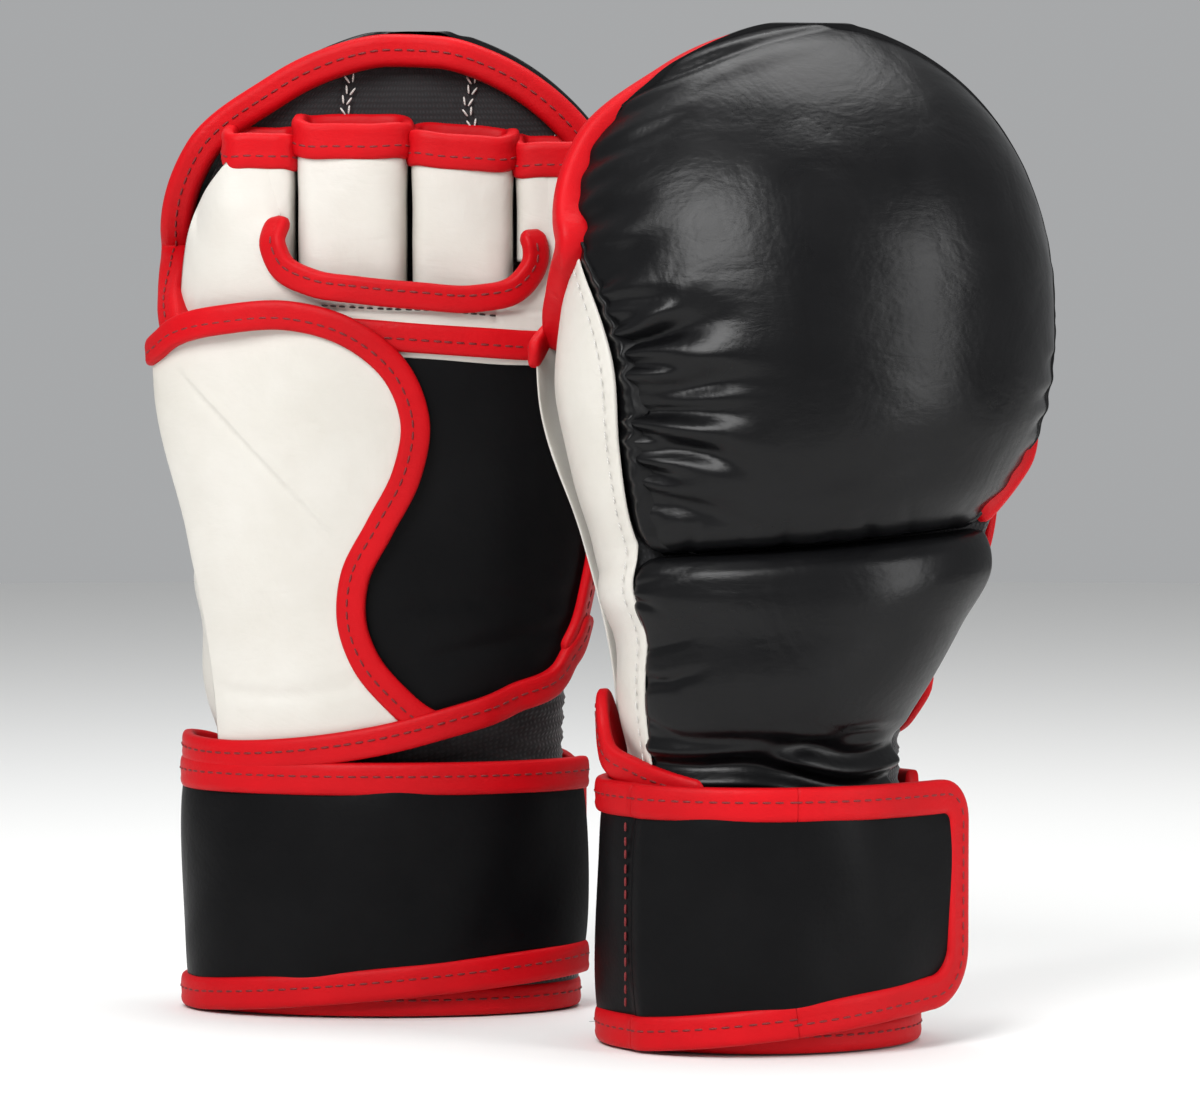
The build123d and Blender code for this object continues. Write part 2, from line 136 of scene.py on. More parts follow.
def gridNormals(points, outwardHint):
    # cross product of the grid's two directions, turned to the side the hint points to
    n = unit(np.cross(np.gradient(points, axis=0), np.gradient(points, axis=1)))
    facing = np.sum(n * outwardHint, -1).mean()
    return n if facing > 0 else -n


def gridFaces(rows, cols, closeRows, closeCols, first):
    i = np.arange(rows if closeRows else rows - 1)[:, None]
    j = np.arange(cols if closeCols else cols - 1)[None, :]
    i2, j2 = (i + 1) % rows, (j + 1) % cols
    quads = np.stack([i * cols + j, i2 * cols + j, i2 * cols + j2, i * cols + j2], -1)
    return quads.reshape(-1, 4) + first


def makePiece(name, side, grids, material, gone=(), body="glove"):
    # joins grids of points into one closed mesh; each grid is (points, closed in rows, closed in columns);
    # its slot comes from its material, and a piece with no body is left without a parent
    points, faces, uvs, first = [], [], [], 0
    for grid, closeRows, closeCols in grids:
        rows, cols = grid.shape[:2]
        across = np.concatenate([[0], np.cumsum(np.linalg.norm(np.diff(grid.mean(0), axis=0), axis=1))])
        along = np.concatenate([[0], np.cumsum(np.linalg.norm(np.diff(grid.mean(1), axis=0), axis=1))])
        uvs.append(np.stack(np.meshgrid(along, across, indexing="ij"), -1).reshape(-1, 2))
        points.append(toFrame(side, grid.reshape(-1, 3)))
        faces.append(gridFaces(rows, cols, closeRows, closeCols, first))
        first += rows * cols
    points, faces, uvs = np.concatenate(points), np.concatenate(faces), np.concatenate(uvs)
    mesh = bpy.data.meshes.new(side + name)
    mesh.from_pydata(points.tolist(), [], faces.tolist())
    corner = np.zeros(len(mesh.loops), int)
    mesh.loops.foreach_get("vertex_index", corner)
    mesh.uv_layers.new(name="surface").data.foreach_set("uv", uvs[corner].ravel())
    work = bmesh.new()
    work.from_mesh(mesh)
    bmesh.ops.remove_doubles(work, verts=work.verts, dist=0.000002)
    bmesh.ops.recalc_face_normals(work, faces=work.faces)
    work.to_mesh(mesh)
    work.free()
    mesh.polygons.foreach_set("use_smooth", np.ones(len(mesh.polygons), bool))
    mesh.materials.append(material)
    piece = bpy.data.objects.new(side + name, mesh)
    bpy.context.collection.objects.link(piece)
    if gone:
        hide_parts(*[side + "_" + node for node in gone])
    if body:
        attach(piece, side + "_" + body)
    return piece


def edgeRound(count, flat=0.5, power=4):
    # 0 at both ends and 1 between, with a rounded shoulder
    t = np.abs(np.linspace(-1, 1, count))
    return (1 - t**power) ** flat


def leafBorder(rows, cols):
    # 1 over a leaf and 0 all round its border
    return np.minimum(edgeRound(rows)[:, None], edgeRound(cols)[None, :])


def slabGrids(points, normals, front, back):
    # closed leaf: front and back faces at given distances off a middle surface, meeting at its border
    return [
        (points + normals * front[..., None], False, False),
        (points - normals * back[..., None], False, False)
    ]


def bandSection(width, height, count=28, crown=0.62, groove=None):
    # rounded flat oval: across = width/2 cos^crown, up = height/2 sin^crown; a groove is pressed along
    # the stitches
    a = np.arange(count) / count * 2 * np.pi
    across = np.sign(np.cos(a)) * np.abs(np.cos(a)) ** crown * width / 2
    up = np.sign(np.sin(a)) * np.abs(np.sin(a)) ** crown * height / 2
    if groove is not None:
        up = up - np.where(np.sin(a) > 0, 0.00035 * bump(across, groove, 0.0008), 0)
    return across, up


def bandGrid(path, outward, section, closed=False, blunt=False):
    # carries the section along the path: point = path + side * across + outward * up; an open end shrinks to a
    # point, rounded over three steps, or is cut off flat where it is blunt
    if closed:
        tangent = unit(np.roll(path, -1, 0) - np.roll(path, 1, 0))
    else:
        tangent = unit(np.gradient(path, axis=0))
    sideways = unit(np.cross(tangent, outward))
    outward = np.cross(sideways, tangent)
    across, up = section
    size = np.ones(len(path))
    if not closed:
        for order in (np.arange(len(path)), np.arange(len(path))[::-1]):
            rounded = np.sqrt(1 - (1 - np.clip(order / 3, 0, 1)) ** 2)
            size = size * (np.where(order == 0, 0, 1) if blunt else rounded)
    grid = (
        path[:, None] + sideways[:, None] * (across[None, :, None] * size[:, None, None])
        + outward[:, None] * (up[None, :, None] * size[:, None, None])
    )
    return (grid, closed, True)


def stitchGrids(path, outward, pitch=0.0034, length=0.0024, radius=0.00032, lean=0.0, shift=0.0):
    # a row of small capsules: each is 5 rings of 6 points, carried to its place on the line
    line = evenly(path, 0.0005)
    normal = np.stack(
        [
            np.interp(np.linspace(0, 1, len(line)), np.linspace(0, 1, len(outward)), outward[:, k])
            for k in range(3)
        ],
        -1
    )
    tangent = unit(np.gradient(line, axis=0))
    count = max(int(len(line) * 0.0005 / pitch), 1)
    at = np.linspace(2, len(line) - 3, count).astype(int)
    t, n = tangent[at], unit(normal[at])
    s = unit(np.cross(t, n))
    t = unit(t + s * lean)
    rings = np.array([-1, -0.8, 0, 0.8, 1.0])
    fat = np.array([0.05, 0.75, 1.0, 0.75, 0.05])
    a = np.arange(6) / 6 * 2 * np.pi
    grids = []
    for k in range(count):
        centre = line[at[k]] + s[k] * shift + n[k] * radius * 0.4
        ring = (
            centre + t[k] * (rings * length / 2)[:, None, None]
            + (s[k] * np.cos(a)[:, None] + n[k] * np.sin(a)[:, None])[None] * (fat * radius)[:, None, None]
        )
        grids.append((ring, False, True))
    return grids


def handShape(side, z, grow=0.0):
    # half ellipses of the space for the hand: centre and half width in x, depth to the palm, to the back,
    # middle y
    g = gloves[side]
    little, thumb, half = g["little"], g["thumb"], g["depth"] / 2
    levels = np.array(
        [
            (0.059, little, thumb, -half, half, 0), (0.090, little, thumb + 0.001, -0.031, 0.024, -0.002),
            (0.138, (little - 0.057) / 2, 0.063, -0.034, 0.016, -0.008),
            (0.178, -0.060, 0.066, -0.037, 0.008, -0.012), (0.215, -0.058, 0.066, -0.040, -0.005, -0.012),
            (0.240, -0.053, 0.063, -0.038, -0.005, -0.012), (0.262, -0.042, 0.053, -0.030, -0.006, -0.012)
        ]
    )
    a, b, palm, back, mid = [smoothCurve(levels[:, 0], levels[:, k], z) for k in range(1, 6)]
    return (a + b) / 2, (b - a) / 2 + grow, mid - palm + grow, back - mid + grow, mid


def handPoint(side, angle, z, grow=0.0):
    # x = centre + half cos angle, y = middle - depth sin angle; 0 is the thumb side and 90 degrees the palm
    centre, half, palm, back, mid = handShape(side, z, grow)
    depth = np.where(np.sin(angle) > 0, palm, back)
    return xyz(centre + half * np.cos(angle), mid - depth * np.sin(angle), z)


def handOut(side, angle, z):
    return unit(handPoint(side, angle, z, 0.001) - handPoint(side, angle, z, 0.0))


def angleAtX(side, x, z):
    centre, half = handShape(side, z)[:2]
    return np.arccos(np.clip((x - centre) / half, -0.999, 0.999))


def angleAtY(side, y, z, littleSide=True):
    # the angle on the little finger side, or on the thumb side, where the outline reaches y
    palm, back, mid = handShape(side, z)[2:]
    lean = np.where(
        y < mid, np.arcsin(np.clip((mid - y) / palm, 0, 0.999)),
        -np.arcsin(np.clip((y - mid) / back, 0, 0.999))
    )
    return np.pi - lean if littleSide else lean


def seamY(z):
    # y of the seam between the back pads and the sides
    return smoothCurve(
        [0.060, 0.138, 0.170, 0.200, 0.235, 0.258, 0.300],
        [0.013, 0.013, 0.002, -0.006, -0.008, -0.011, -0.014], z
    )


def seamLittle(z):
    # the same seam on the little finger side, where the white side strip reaches further back
    return smoothCurve(
        [0.060, 0.100, 0.138, 0.165, 0.190, 0.204, 0.217, 0.230, 0.242, 0.258, 0.300],
        [0.013, 0.015, 0.0185, 0.021, 0.020, 0.014, 0.005, -0.004, -0.009, -0.011, -0.014], z
    )


def hemZ(x):
    return smoothCurve(
        [-0.095, -0.052, -0.010, 0.025, 0.062, 0.095], [0.076, 0.074, 0.079, 0.087, 0.103, 0.122], x
    )


# Materials

def addNode(tree, kind, inputs=None, **settings):
    new = tree.nodes.new(kind)
    for key, value in settings.items():
        setattr(new, key, value)
    for key, value in (inputs or {}).items():
        if isinstance(value, bpy.types.NodeSocket):
            tree.links.new(value, new.inputs[key])
        else:
            new.inputs[key].default_value = value
    return new


def startMaterial(name):
    material = bpy.data.materials.new(name)
    material.use_nodes = True
    tree = material.node_tree
    return material, tree, tree.nodes["Principled BSDF"], addNode(tree, "ShaderNodeTexCoord")


def mixColour(tree, factor, a, b):
    mix = addNode(tree, "ShaderNodeMix", data_type="RGBA")
    tree.links.new(factor, mix.inputs[0])
    mix.inputs[6].default_value = (*a, 1)
    mix.inputs[7].default_value = (*b, 1)
    return mix.outputs[2]


def spread(tree, value, low, high, outLow, outHigh):
    return addNode(
        tree, "ShaderNodeMapRange", {"Value": value, 1: low, 2: high, 3: outLow, 4: outHigh}
    ).outputs[0]


def leatherMaterial(name, look):
    # smooth coated leather: fine pebble grain, shallow long creases, a little wear and dust in the colour
    material, tree, shader, coords = startMaterial(name)
    where = coords.outputs["Object"]
    pebble = addNode(
        tree, "ShaderNodeTexVoronoi", {"Vector": where, "Scale": look["grainScale"], "Randomness": 1.0},
        feature="SMOOTH_F1"
    )
    fine = addNode(
        tree, "ShaderNodeTexNoise", {"Vector": where, "Scale": look["grainScale"] * 2.3, "Detail": 3.0}
    )
    soft = addNode(
        tree, "ShaderNodeTexNoise", {"Vector": where, "Scale": 38.0, "Detail": 4.0, "Distortion": 0.6}
    )
    patchy = addNode(
        tree, "ShaderNodeTexNoise", {"Vector": where, "Scale": 21.0, "Detail": 5.0, "Roughness": 0.6}
    )
    stretchMap = addNode(tree, "ShaderNodeMapping", {"Vector": where, "Scale": (1.0, 1.0, 3.2)})
    crease = addNode(
        tree, "ShaderNodeTexNoise",
        {
            "Vector": stretchMap.outputs[0], "Scale": 60.0, "Detail": 6.0, "Roughness": 0.65,
            "Distortion": 1.2
        }
    )
    tree.links.new(
        mixColour(tree, spread(tree, patchy.outputs[0], 0.35, 0.7, 0, 1), look["colour"], look["worn"]),
        shader.inputs["Base Color"]
    )
    tree.links.new(
        spread(tree, soft.outputs[0], 0.3, 0.7, look["gloss"][0], look["gloss"][1]),
        shader.inputs["Roughness"]
    )
    grainBump = addNode(
        tree, "ShaderNodeBump",
        {"Height": pebble.outputs["Distance"], "Strength": look["grain"], "Distance": 0.0003}
    )
    fineBump = addNode(
        tree, "ShaderNodeBump",
        {
            "Height": fine.outputs[0], "Strength": look["grain"] * 0.6, "Distance": 0.0002,
            "Normal": grainBump.outputs[0]
        }
    )
    creaseBump = addNode(
        tree, "ShaderNodeBump",
        {
            "Height": crease.outputs[0], "Strength": look["creases"], "Distance": 0.0012,
            "Normal": fineBump.outputs[0]
        }
    )
    softBump = addNode(
        tree, "ShaderNodeBump",
        {
            "Height": soft.outputs[0], "Strength": look["waves"], "Distance": 0.004,
            "Normal": creaseBump.outputs[0]
        }
    )
    tree.links.new(softBump.outputs[0], shader.inputs["Normal"])
    shader.inputs["Coat Weight"].default_value = look["coat"]
    shader.inputs["Coat Roughness"].default_value = look["coatRoughness"]
    shader.inputs["Specular IOR Level"].default_value = look["specular"]
    return material


def clothMaterial(name, look):
    # knitted cloth: two crossed waves make the stitches, along the piece's own surface map
    material, tree, shader, coords = startMaterial(name)
    where = coords.outputs["UV"]
    rib = addNode(
        tree, "ShaderNodeTexWave",
        {"Vector": where, "Scale": look["ribs"], "Distortion": 0.6, "Detail": 1.0}, bands_direction="X"
    )
    course = addNode(
        tree, "ShaderNodeTexWave",
        {"Vector": where, "Scale": look["ribs"] * 0.8, "Distortion": 0.6, "Detail": 1.0},
        bands_direction="Y"
    )
    knit = addNode(tree, "ShaderNodeMath", {0: rib.outputs[1], 1: course.outputs[1]}, operation="MULTIPLY")
    fuzz = addNode(
        tree, "ShaderNodeTexNoise", {"Vector": coords.outputs["Object"], "Scale": 900.0, "Detail": 3.0}
    )
    soft = addNode(
        tree, "ShaderNodeTexNoise", {"Vector": coords.outputs["Object"], "Scale": 60.0, "Detail": 4.0}
    )
    tree.links.new(
        mixColour(tree, knit.outputs[0], look["shade"], look["colour"]), shader.inputs["Base Color"]
    )
    first = addNode(
        tree, "ShaderNodeBump", {"Height": knit.outputs[0], "Strength": look["weave"], "Distance": 0.0004}
    )
    second = addNode(
        tree, "ShaderNodeBump",
        {"Height": fuzz.outputs[0], "Strength": 0.25, "Distance": 0.0003, "Normal": first.outputs[0]}
    )
    third = addNode(
        tree, "ShaderNodeBump",
        {"Height": soft.outputs[0], "Strength": 0.5, "Distance": 0.002, "Normal": second.outputs[0]}
    )
    tree.links.new(third.outputs[0], shader.inputs["Normal"])
    shader.inputs["Roughness"].default_value = look["roughness"]
    shader.inputs["Sheen Weight"].default_value = look["sheen"]
    shader.inputs["Sheen Roughness"].default_value = 0.5
    return material


def threadMaterial(name, colour):
    # twisted thread: a fine slanting wave over a plain colour
    material, tree, shader, coords = startMaterial(name)
    twist = addNode(
        tree, "ShaderNodeTexWave", {"Vector": coords.outputs["Object"], "Scale": 900.0, "Distortion": 0.4},
        bands_direction="DIAGONAL"
    )
    tree.links.new(
        mixColour(tree, twist.outputs[1], [c * 0.6 for c in colour], colour), shader.inputs["Base Color"]
    )
    ply = addNode(tree, "ShaderNodeBump", {"Height": twist.outputs[1], "Strength": 0.4, "Distance": 0.0001})
    tree.links.new(ply.outputs[0], shader.inputs["Normal"])
    shader.inputs["Roughness"].default_value = 0.6
    return material


finishes = {
    "blackLeather": {
        "colour": (0.0024, 0.0024, 0.0028), "worn": (0.0045, 0.0045, 0.005), "gloss": (0.26, 0.36),
        "grainScale": 620.0, "grain": 0.10, "creases": 0.10, "waves": 0.18, "coat": 0.0,
        "coatRoughness": 0.22, "specular": 0.18
    },
    "strapLeather": {
        "colour": (0.0022, 0.0022, 0.0026), "worn": (0.0042, 0.0042, 0.0046), "gloss": (0.36, 0.50),
        "grainScale": 760.0, "grain": 0.14, "creases": 0.05, "waves": 0.10, "coat": 0.0,
        "coatRoughness": 0.30, "specular": 0.075
    },
    "whiteLeather": {
        "colour": (0.590, 0.568, 0.525), "worn": (0.53, 0.505, 0.455), "gloss": (0.42, 0.55),
        "grainScale": 700.0, "grain": 0.10, "creases": 0.12, "waves": 0.22, "coat": 0.10,
        "coatRoughness": 0.35, "specular": 0.45
    },
    "redTape": {
        "colour": (0.50, 0.0020, 0.0060), "worn": (0.40, 0.002, 0.005), "gloss": (0.42, 0.58),
        "grainScale": 900.0, "grain": 0.16, "creases": 0.16, "waves": 0.16, "coat": 0.0,
        "coatRoughness": 0.40, "specular": 0.13
    }
}
clothLooks = {
    "blackCloth": {
        "colour": (0.014, 0.014, 0.016), "shade": (0.004, 0.004, 0.005), "ribs": 240.0, "weave": 0.5,
        "roughness": 0.85, "sheen": 0.25
    },
    "hookTape": {
        "colour": (0.02, 0.02, 0.02), "shade": (0.003, 0.003, 0.003), "ribs": 180.0, "weave": 1.0,
        "roughness": 0.9, "sheen": 0.1
    }
}
blackLeather, strapLeather, whiteLeather, redTape = [
    leatherMaterial(name, look)
    for name, look in finishes.items()
]
blackCloth, hookTape = [clothMaterial(name, look) for name, look in clothLooks.items()]
darkThread = threadMaterial("darkThread", (0.20, 0.006, 0.008))
blackThread = threadMaterial("blackThread", (0.03, 0.025, 0.025))
whiteThread = threadMaterial("whiteThread", (0.72, 0.70, 0.66))
print("materials made")

# Knuckle pad: levels give z, little finger side, thumb side and back of the dome, millimetres
knucklePad = {
    "levels": [
        (138.6, -56, 57, 30), (139.2, -57, 58.5, 35), (141.5, -58.5, 60.5, 38.5), (147, -60.5, 64.5, 42),
        (157, -63, 70, 45.5), (170, -65, 75, 47.5), (195, -66, 79, 47), (218, -64, 78, 42.5),
        (238, -58.5, 72, 34), (256, -47.5, 61, 21), (269, -33, 47.5, 8), (278, -15, 31.5, -3),
        (281.6, -1.5, 19, -9), (282, 7, 11, -11.6)
    ],
    "gathers": 30, "depth": 0.0029, "reach": 0.050
}


def domePoint(u, v, grow=0.0):
    # levels joined by a smooth curve; x = centre - half cos a, y = middle + depth sin a, a from seam to seam
    levels = np.array(knucklePad["levels"], float) / 1000
    half = (levels[:, 2] - levels[:, 1]) / 2
    spread = np.diff(half) + 0.4 * np.diff(levels[:, 3])
    along = np.concatenate([[0], np.cumsum(np.hypot(np.diff(levels[:, 0]), spread))])
    at = v * along[-1]
    z, little, thumb, back = [smoothCurve(along, levels[:, k], at) for k in range(4)]
    mid = -0.012
    depth = np.maximum(back - mid, 0.0003) + grow
    halfWidth = (thumb - little) / 2 + grow
    start = np.arcsin(np.clip((seamLittle(z) - mid) / depth, -0.25, 0.85))
    finish = np.pi - np.arcsin(np.clip((seamY(z) - mid) / depth, -0.25, 0.85))
    a = start + (finish - start) * u
    x = (thumb + little) / 2 - halfWidth * np.cos(a)
    return xyz(x, mid + depth * np.sin(a), z + creaseTilt(x, z))


def creaseTilt(x, z):
    # the fold between the two pads climbs towards the thumb
    return 0.080 * x * bump(z, 0.139, 0.024)


def gatherDepth(points, rim, rng, look, converge):
    # pulls the skin in along creases that start at the seam: depth x bell across the crease x fade along it
    away = np.abs(points[..., 0] - rim[..., 0]) + 0.6 * np.abs(points[..., 1] - rim[..., 1])
    z = points[..., 2]
    total = np.zeros(z.shape)
    places = np.linspace(0.150, 0.266, look["gathers"]) + rng.uniform(-0.0015, 0.0015, look["gathers"])
    for place in places:
        upper = smoothStep(0.205, 0.235, place)  # softer, longer folds near the fingertips
        strong = (0.45 + 0.75 * bump(place, 0.176, 0.022)) * (1 - 0.45 * upper)
        reach = (
            look["reach"] * rng.uniform(0.45, 1.15)
            * (0.60 + 0.75 * bump(place, 0.176, 0.030) + 0.55 * upper)
        )
        slope = (place - converge) * rng.uniform(5, 9) + rng.uniform(-0.12, 0.12)
        wide = rng.uniform(0.0010, 0.0019) * (1 + 0.8 * upper) + 0.055 * away
        line = place + slope * away + rng.uniform(-3, 3) * away**2
        fade = (1 - smoothStep(0.25 * reach, reach, away)) * (0.18 + 0.82 * smoothStep(0.0, 0.006, away))
        total -= look["depth"] * strong * rng.uniform(0.55, 1.1) * fade * bump(z, line, wide)
        total += 0.42 * look["depth"] * strong * fade * bump(z, line + 1.7 * wide, 1.2 * wide)
    return total


def softUnevenness(points, rng, size, height):
    # a few long sine waves of different direction, for the slack of hand-filled leather
    total = np.zeros(points.shape[:-1])
    for _ in range(7):
        direction = unit(rng.normal(size=3))
        total += np.sin(
            points @ direction * 2 * np.pi / (size * rng.uniform(0.7, 1.6)) + rng.uniform(0, 6.28)
        )
    return total * height / 7


def makeKnucklePad(side):
    rng = np.random.default_rng(gloves[side]["seed"])
    u = np.linspace(0, 1, 230)[:, None]
    v = (np.linspace(0, 1, 212) ** 0.94)[None, :]
    outer = domePoint(u, v)
    normals = gridNormals(outer[:, :-1], outer[:, :-1] - np.array([0.005, -0.03, 0.19]))
    normals = np.concatenate([normals, normals[:, -1:]], 1)
    rimLittle, rimThumb = outer[:1], outer[-1:]
    lift = gatherDepth(outer, rimLittle, rng, knucklePad, 0.176)
    lift += 0.20 * gatherDepth(outer, rimThumb, rng, {**knucklePad, "reach": 0.019}, 0.200)
    seamPull = np.minimum(u, 1 - u) * 1.0
    lift -= 0.0022 * bump(seamPull, 0, 0.018)  # the skin dives into the seam
    lift += softUnevenness(outer, rng, 0.075, 0.0016)
    x, z = outer[..., 0], outer[..., 2]
    for place, lean in zip(np.linspace(-0.045, 0.052, 9), rng.uniform(-0.5, 0.5, 9)):
        rise = z - 0.140
        fade = 1 - smoothStep(0.002, rng.uniform(0.008, 0.016), rise)
        lift -= 0.0007 * rng.uniform(0.3, 1) * fade * bump(x, place + lean * rise, 0.0022)
    lift -= 0.0012 * bump(z, 0.1565 + 0.006 * np.sin(x * 40), 0.006) * bump(x, 0.0, 0.05)
    keep = (
        smoothStep(0, 0.012, np.broadcast_to(v, x.shape))
        * (1 - smoothStep(0.93, 0.985, np.broadcast_to(v, x.shape)))
    )
    outer = outer + normals * (lift * keep)[..., None]
    wall = outer.copy()
    inside = (seamLittle(outer[..., 2]) * (1 - u) + seamY(outer[..., 2]) * u) + 0.006
    share = (
        smoothStep(0, 0.05, np.broadcast_to(v, x.shape)) * smoothStep(0, 0.03, seamPull)
        * (1 - smoothStep(0.94, 0.995, np.broadcast_to(v, x.shape)))
    )
    wall[..., 1] = outer[..., 1] * (1 - share) + inside * share
    piece = makePiece(
        "KnucklePad", side, [(outer, False, False), (wall, False, False)], blackLeather,
        ("knuckle_shell", "knuckle_foam")
    )


# Hand-back pad: z, little finger side, thumb side, back, in millimetres; the sides depend on the wrist
def backPadLevels(side):
    little, thumb = gloves[side]["little"] * 1000, gloves[side]["thumb"] * 1000
    return (
        np.array(
            [
                (138.2, (little - 57) / 2, 56, 30), (137.6, (little - 59) / 2, 58, 35.5),
                (134.5, (little - 61) / 2, 59.5, 39.5), (128, (little - 61) / 2, 60.5, 41.5),
                (114, little - 2, (thumb + 66) / 2, 41), (100, little - 1.5, (thumb + 66) / 2 - 9.5, 39.5),
                (90, little - 1, thumb - 1, 36), (82, little - 0.5, thumb - 3.5, 32),
                (74, little, thumb - 4, 29.5), (64, little, thumb - 4, 28.5)
            ]
        )
        / 1000
    )


def makeBackPad(side):
    rng = np.random.default_rng(gloves[side]["seed"] + 1)
    levels = backPadLevels(side)
    u = np.linspace(0, 1, 200)[:, None]
    v = np.linspace(0, 1, 170)[None, :]
    along = np.concatenate([[0], np.cumsum(np.hypot(np.diff(levels[:, 0]), 0.5 * np.diff(levels[:, 3])))])
    z, little, thumb, back = [smoothCurve(along, levels[:, k], v * along[-1]) for k in range(4)]
    start = np.arcsin(np.clip(seamLittle(z) / back, -0.2, 0.8))
    finish = np.pi - np.arcsin(np.clip(seamY(z) / back, -0.2, 0.8))
    a = start + (finish - start) * u
    x = (thumb + little) / 2 - (thumb - little) / 2 * np.cos(a)
    outer = xyz(x, back * np.sin(a), z + creaseTilt(x, z))
    normals = gridNormals(outer, outer - np.array([0.0, -0.02, 0.1]))
    x, zz = outer[..., 0], outer[..., 2]
    lift = softUnevenness(outer, rng, 0.06, 0.0014)
    # slack above the strap: folds that run round the wrist and cross each other
    slack = 1 - smoothStep(0.080, 0.091, zz)
    folds = np.sin((zz - 0.07) * 2 * np.pi / 0.0085 + 2.2 * np.sin(x * 55 + 0.6) + 0.8 * np.sin(x * 140))
    lift += 0.0016 * slack * folds
    lift -= 0.0020 * bump(zz, 0.0835 + 0.0025 * np.sin(x * 70), 0.0026) * smoothStep(-0.05, -0.01, x)
    for place, lean in zip(rng.uniform(0.088, 0.128, 8), rng.uniform(-0.5, 0.5, 8)):
        reach = rng.uniform(0.008, 0.018)
        away = np.abs(x - outer[:1, :, 0])
        lift -= (
            0.0006 * (1 - smoothStep(0.3 * reach, reach, away))
            * bump(zz, place + lean * away, 0.0013 + 0.04 * away)
        )
    edge = np.minimum(u, 1 - u)
    lift -= 0.0018 * bump(edge, 0, 0.02)
    keep = smoothStep(0, 0.02, np.broadcast_to(v, x.shape))
    outer = outer + normals * (lift * keep)[..., None]
    wall = outer.copy()
    inner = handShape(side, zz)
    inside = np.maximum(inner[4] + inner[3] * 0.85, 0.014) - 0.001
    share = (
        smoothStep(0, 0.05, np.broadcast_to(v, x.shape)) * smoothStep(0, 0.04, edge)
        * (1 - smoothStep(0.97, 1.0, np.broadcast_to(v, x.shape)))
    )
    wall[..., 1] = outer[..., 1] * (1 - share) + np.minimum(inside, outer[..., 1] - 0.0015) * share
    piece = makePiece(
        "BackPad", side, [(outer, False, False), (wall, False, False)], blackLeather,
        ("hand_back_shell", "hand_back_foam")
    )


# Hood tape: the thick edge that runs from the little finger side over the fingertips to the thumb side
hoodTape = {
    "width": 0.0094, "depth": 0.0086, "inward": 0.0004, "topInward": 0.0044, "thumbInward": 0.0064,
    "back": 0.0018
}


def makeHoodTape(side):
    v = (np.linspace(0, 1, 270) ** 0.94)[None, :]
    rimA = domePoint(np.zeros((1, 1)), v)[0]
    rimB = domePoint(np.ones((1, 1)), v)[0]
    left = rimA[(rimA[:, 2] > 0.2205)]
    right = rimB[(rimB[:, 2] > 0.1435)][::-1]
    tail = np.array(
        [
            (-0.0580, -0.0270, 0.1920), (-0.0602, -0.0235, 0.1975), (-0.0615, -0.0180, 0.2032),
            (-0.0616, -0.0110, 0.2088), (-0.0612, -0.0045, 0.2150)
        ]
    )
    line = pathThrough(np.concatenate([tail, left[::6], right[3::6], right[-1:]]), 0.0012)
    tangent = unit(np.gradient(line, axis=0))
    radial = unit(line - np.array([0.005, -0.012, 0.19]))
    radial = unit(radial - tangent * np.sum(radial * tangent, -1, keepdims=True))
    # the tape faces the palm, and turns outwards where it goes down to the corner of the overlay
    onTail = (1 - smoothStep(0.200, 0.226, line[:, 2:])) * (1 - smoothStep(-0.03, 0.03, line[:, :1]))
    front = np.concatenate([-0.8 * onTail, -np.ones(onTail.shape), 0 * onTail], 1)
    front = unit(front - tangent * np.sum(front * tangent, -1, keepdims=True))
    onThumbSide = smoothStep(-0.035, 0.045, line[:, :1])
    # set in over the fingertips and on the thumb side, and proud again at its lower end there
    z = line[:, 2:]
    little = hoodTape["inward"] + (hoodTape["topInward"] - hoodTape["inward"]) * smoothStep(0.248, 0.270, z)
    thumb = hoodTape["thumbInward"] * (0.45 + 0.55 * smoothStep(0.158, 0.172, z))
    line = line - radial * (little + (thumb - little) * onThumbSide) - front * hoodTape["back"]
    grid = bandGrid(line, front, bandSection(hoodTape["width"], hoodTape["depth"], 32, 0.55, 0.0004))
    makePiece("HoodTape", side, [grid], redTape, ("hood_binding",))
    grids = stitchGrids(line + front * (hoodTape["depth"] / 2 - 0.0002), front)
    makePiece("HoodStitches", side, grids, darkThread)


# Lining: padded cloth wall between the hand and the back pads, with rows of white stitches above the loops
lining = {"thickness": 0.0022, "inset": 0.0075, "low": 0.098, "top": 0.2735}


def liningPoint(side, u, v):
    # x runs from rim to rim of the pads, y sinks to the back of the hand's space in the middle
    z = lining["low"] + (lining["top"] - lining["low"]) * v
    levels = np.array(knucklePad["levels"], float)[:, :3] / 1000
    pads = backPadLevels(side)[::-1]
    zs = np.concatenate([pads[:-2, 0], levels[4:, 0]])
    little = smoothCurve(zs, np.concatenate([pads[:-2, 1], levels[4:, 1]]), z) + lining["inset"]
    thumb = smoothCurve(zs, np.concatenate([pads[:-2, 2], levels[4:, 2]]), z) - lining["inset"]
    back, mid = handShape(side, z)[3:]
    deep = np.maximum(mid + back - 0.0015, seamY(z) + 0.0035)
    bow = np.sin(np.pi * u) ** 0.55
    y = (seamY(z) + 0.002) * (1 - bow) + deep * bow
    return xyz(little + (thumb - little) * u, y, z)


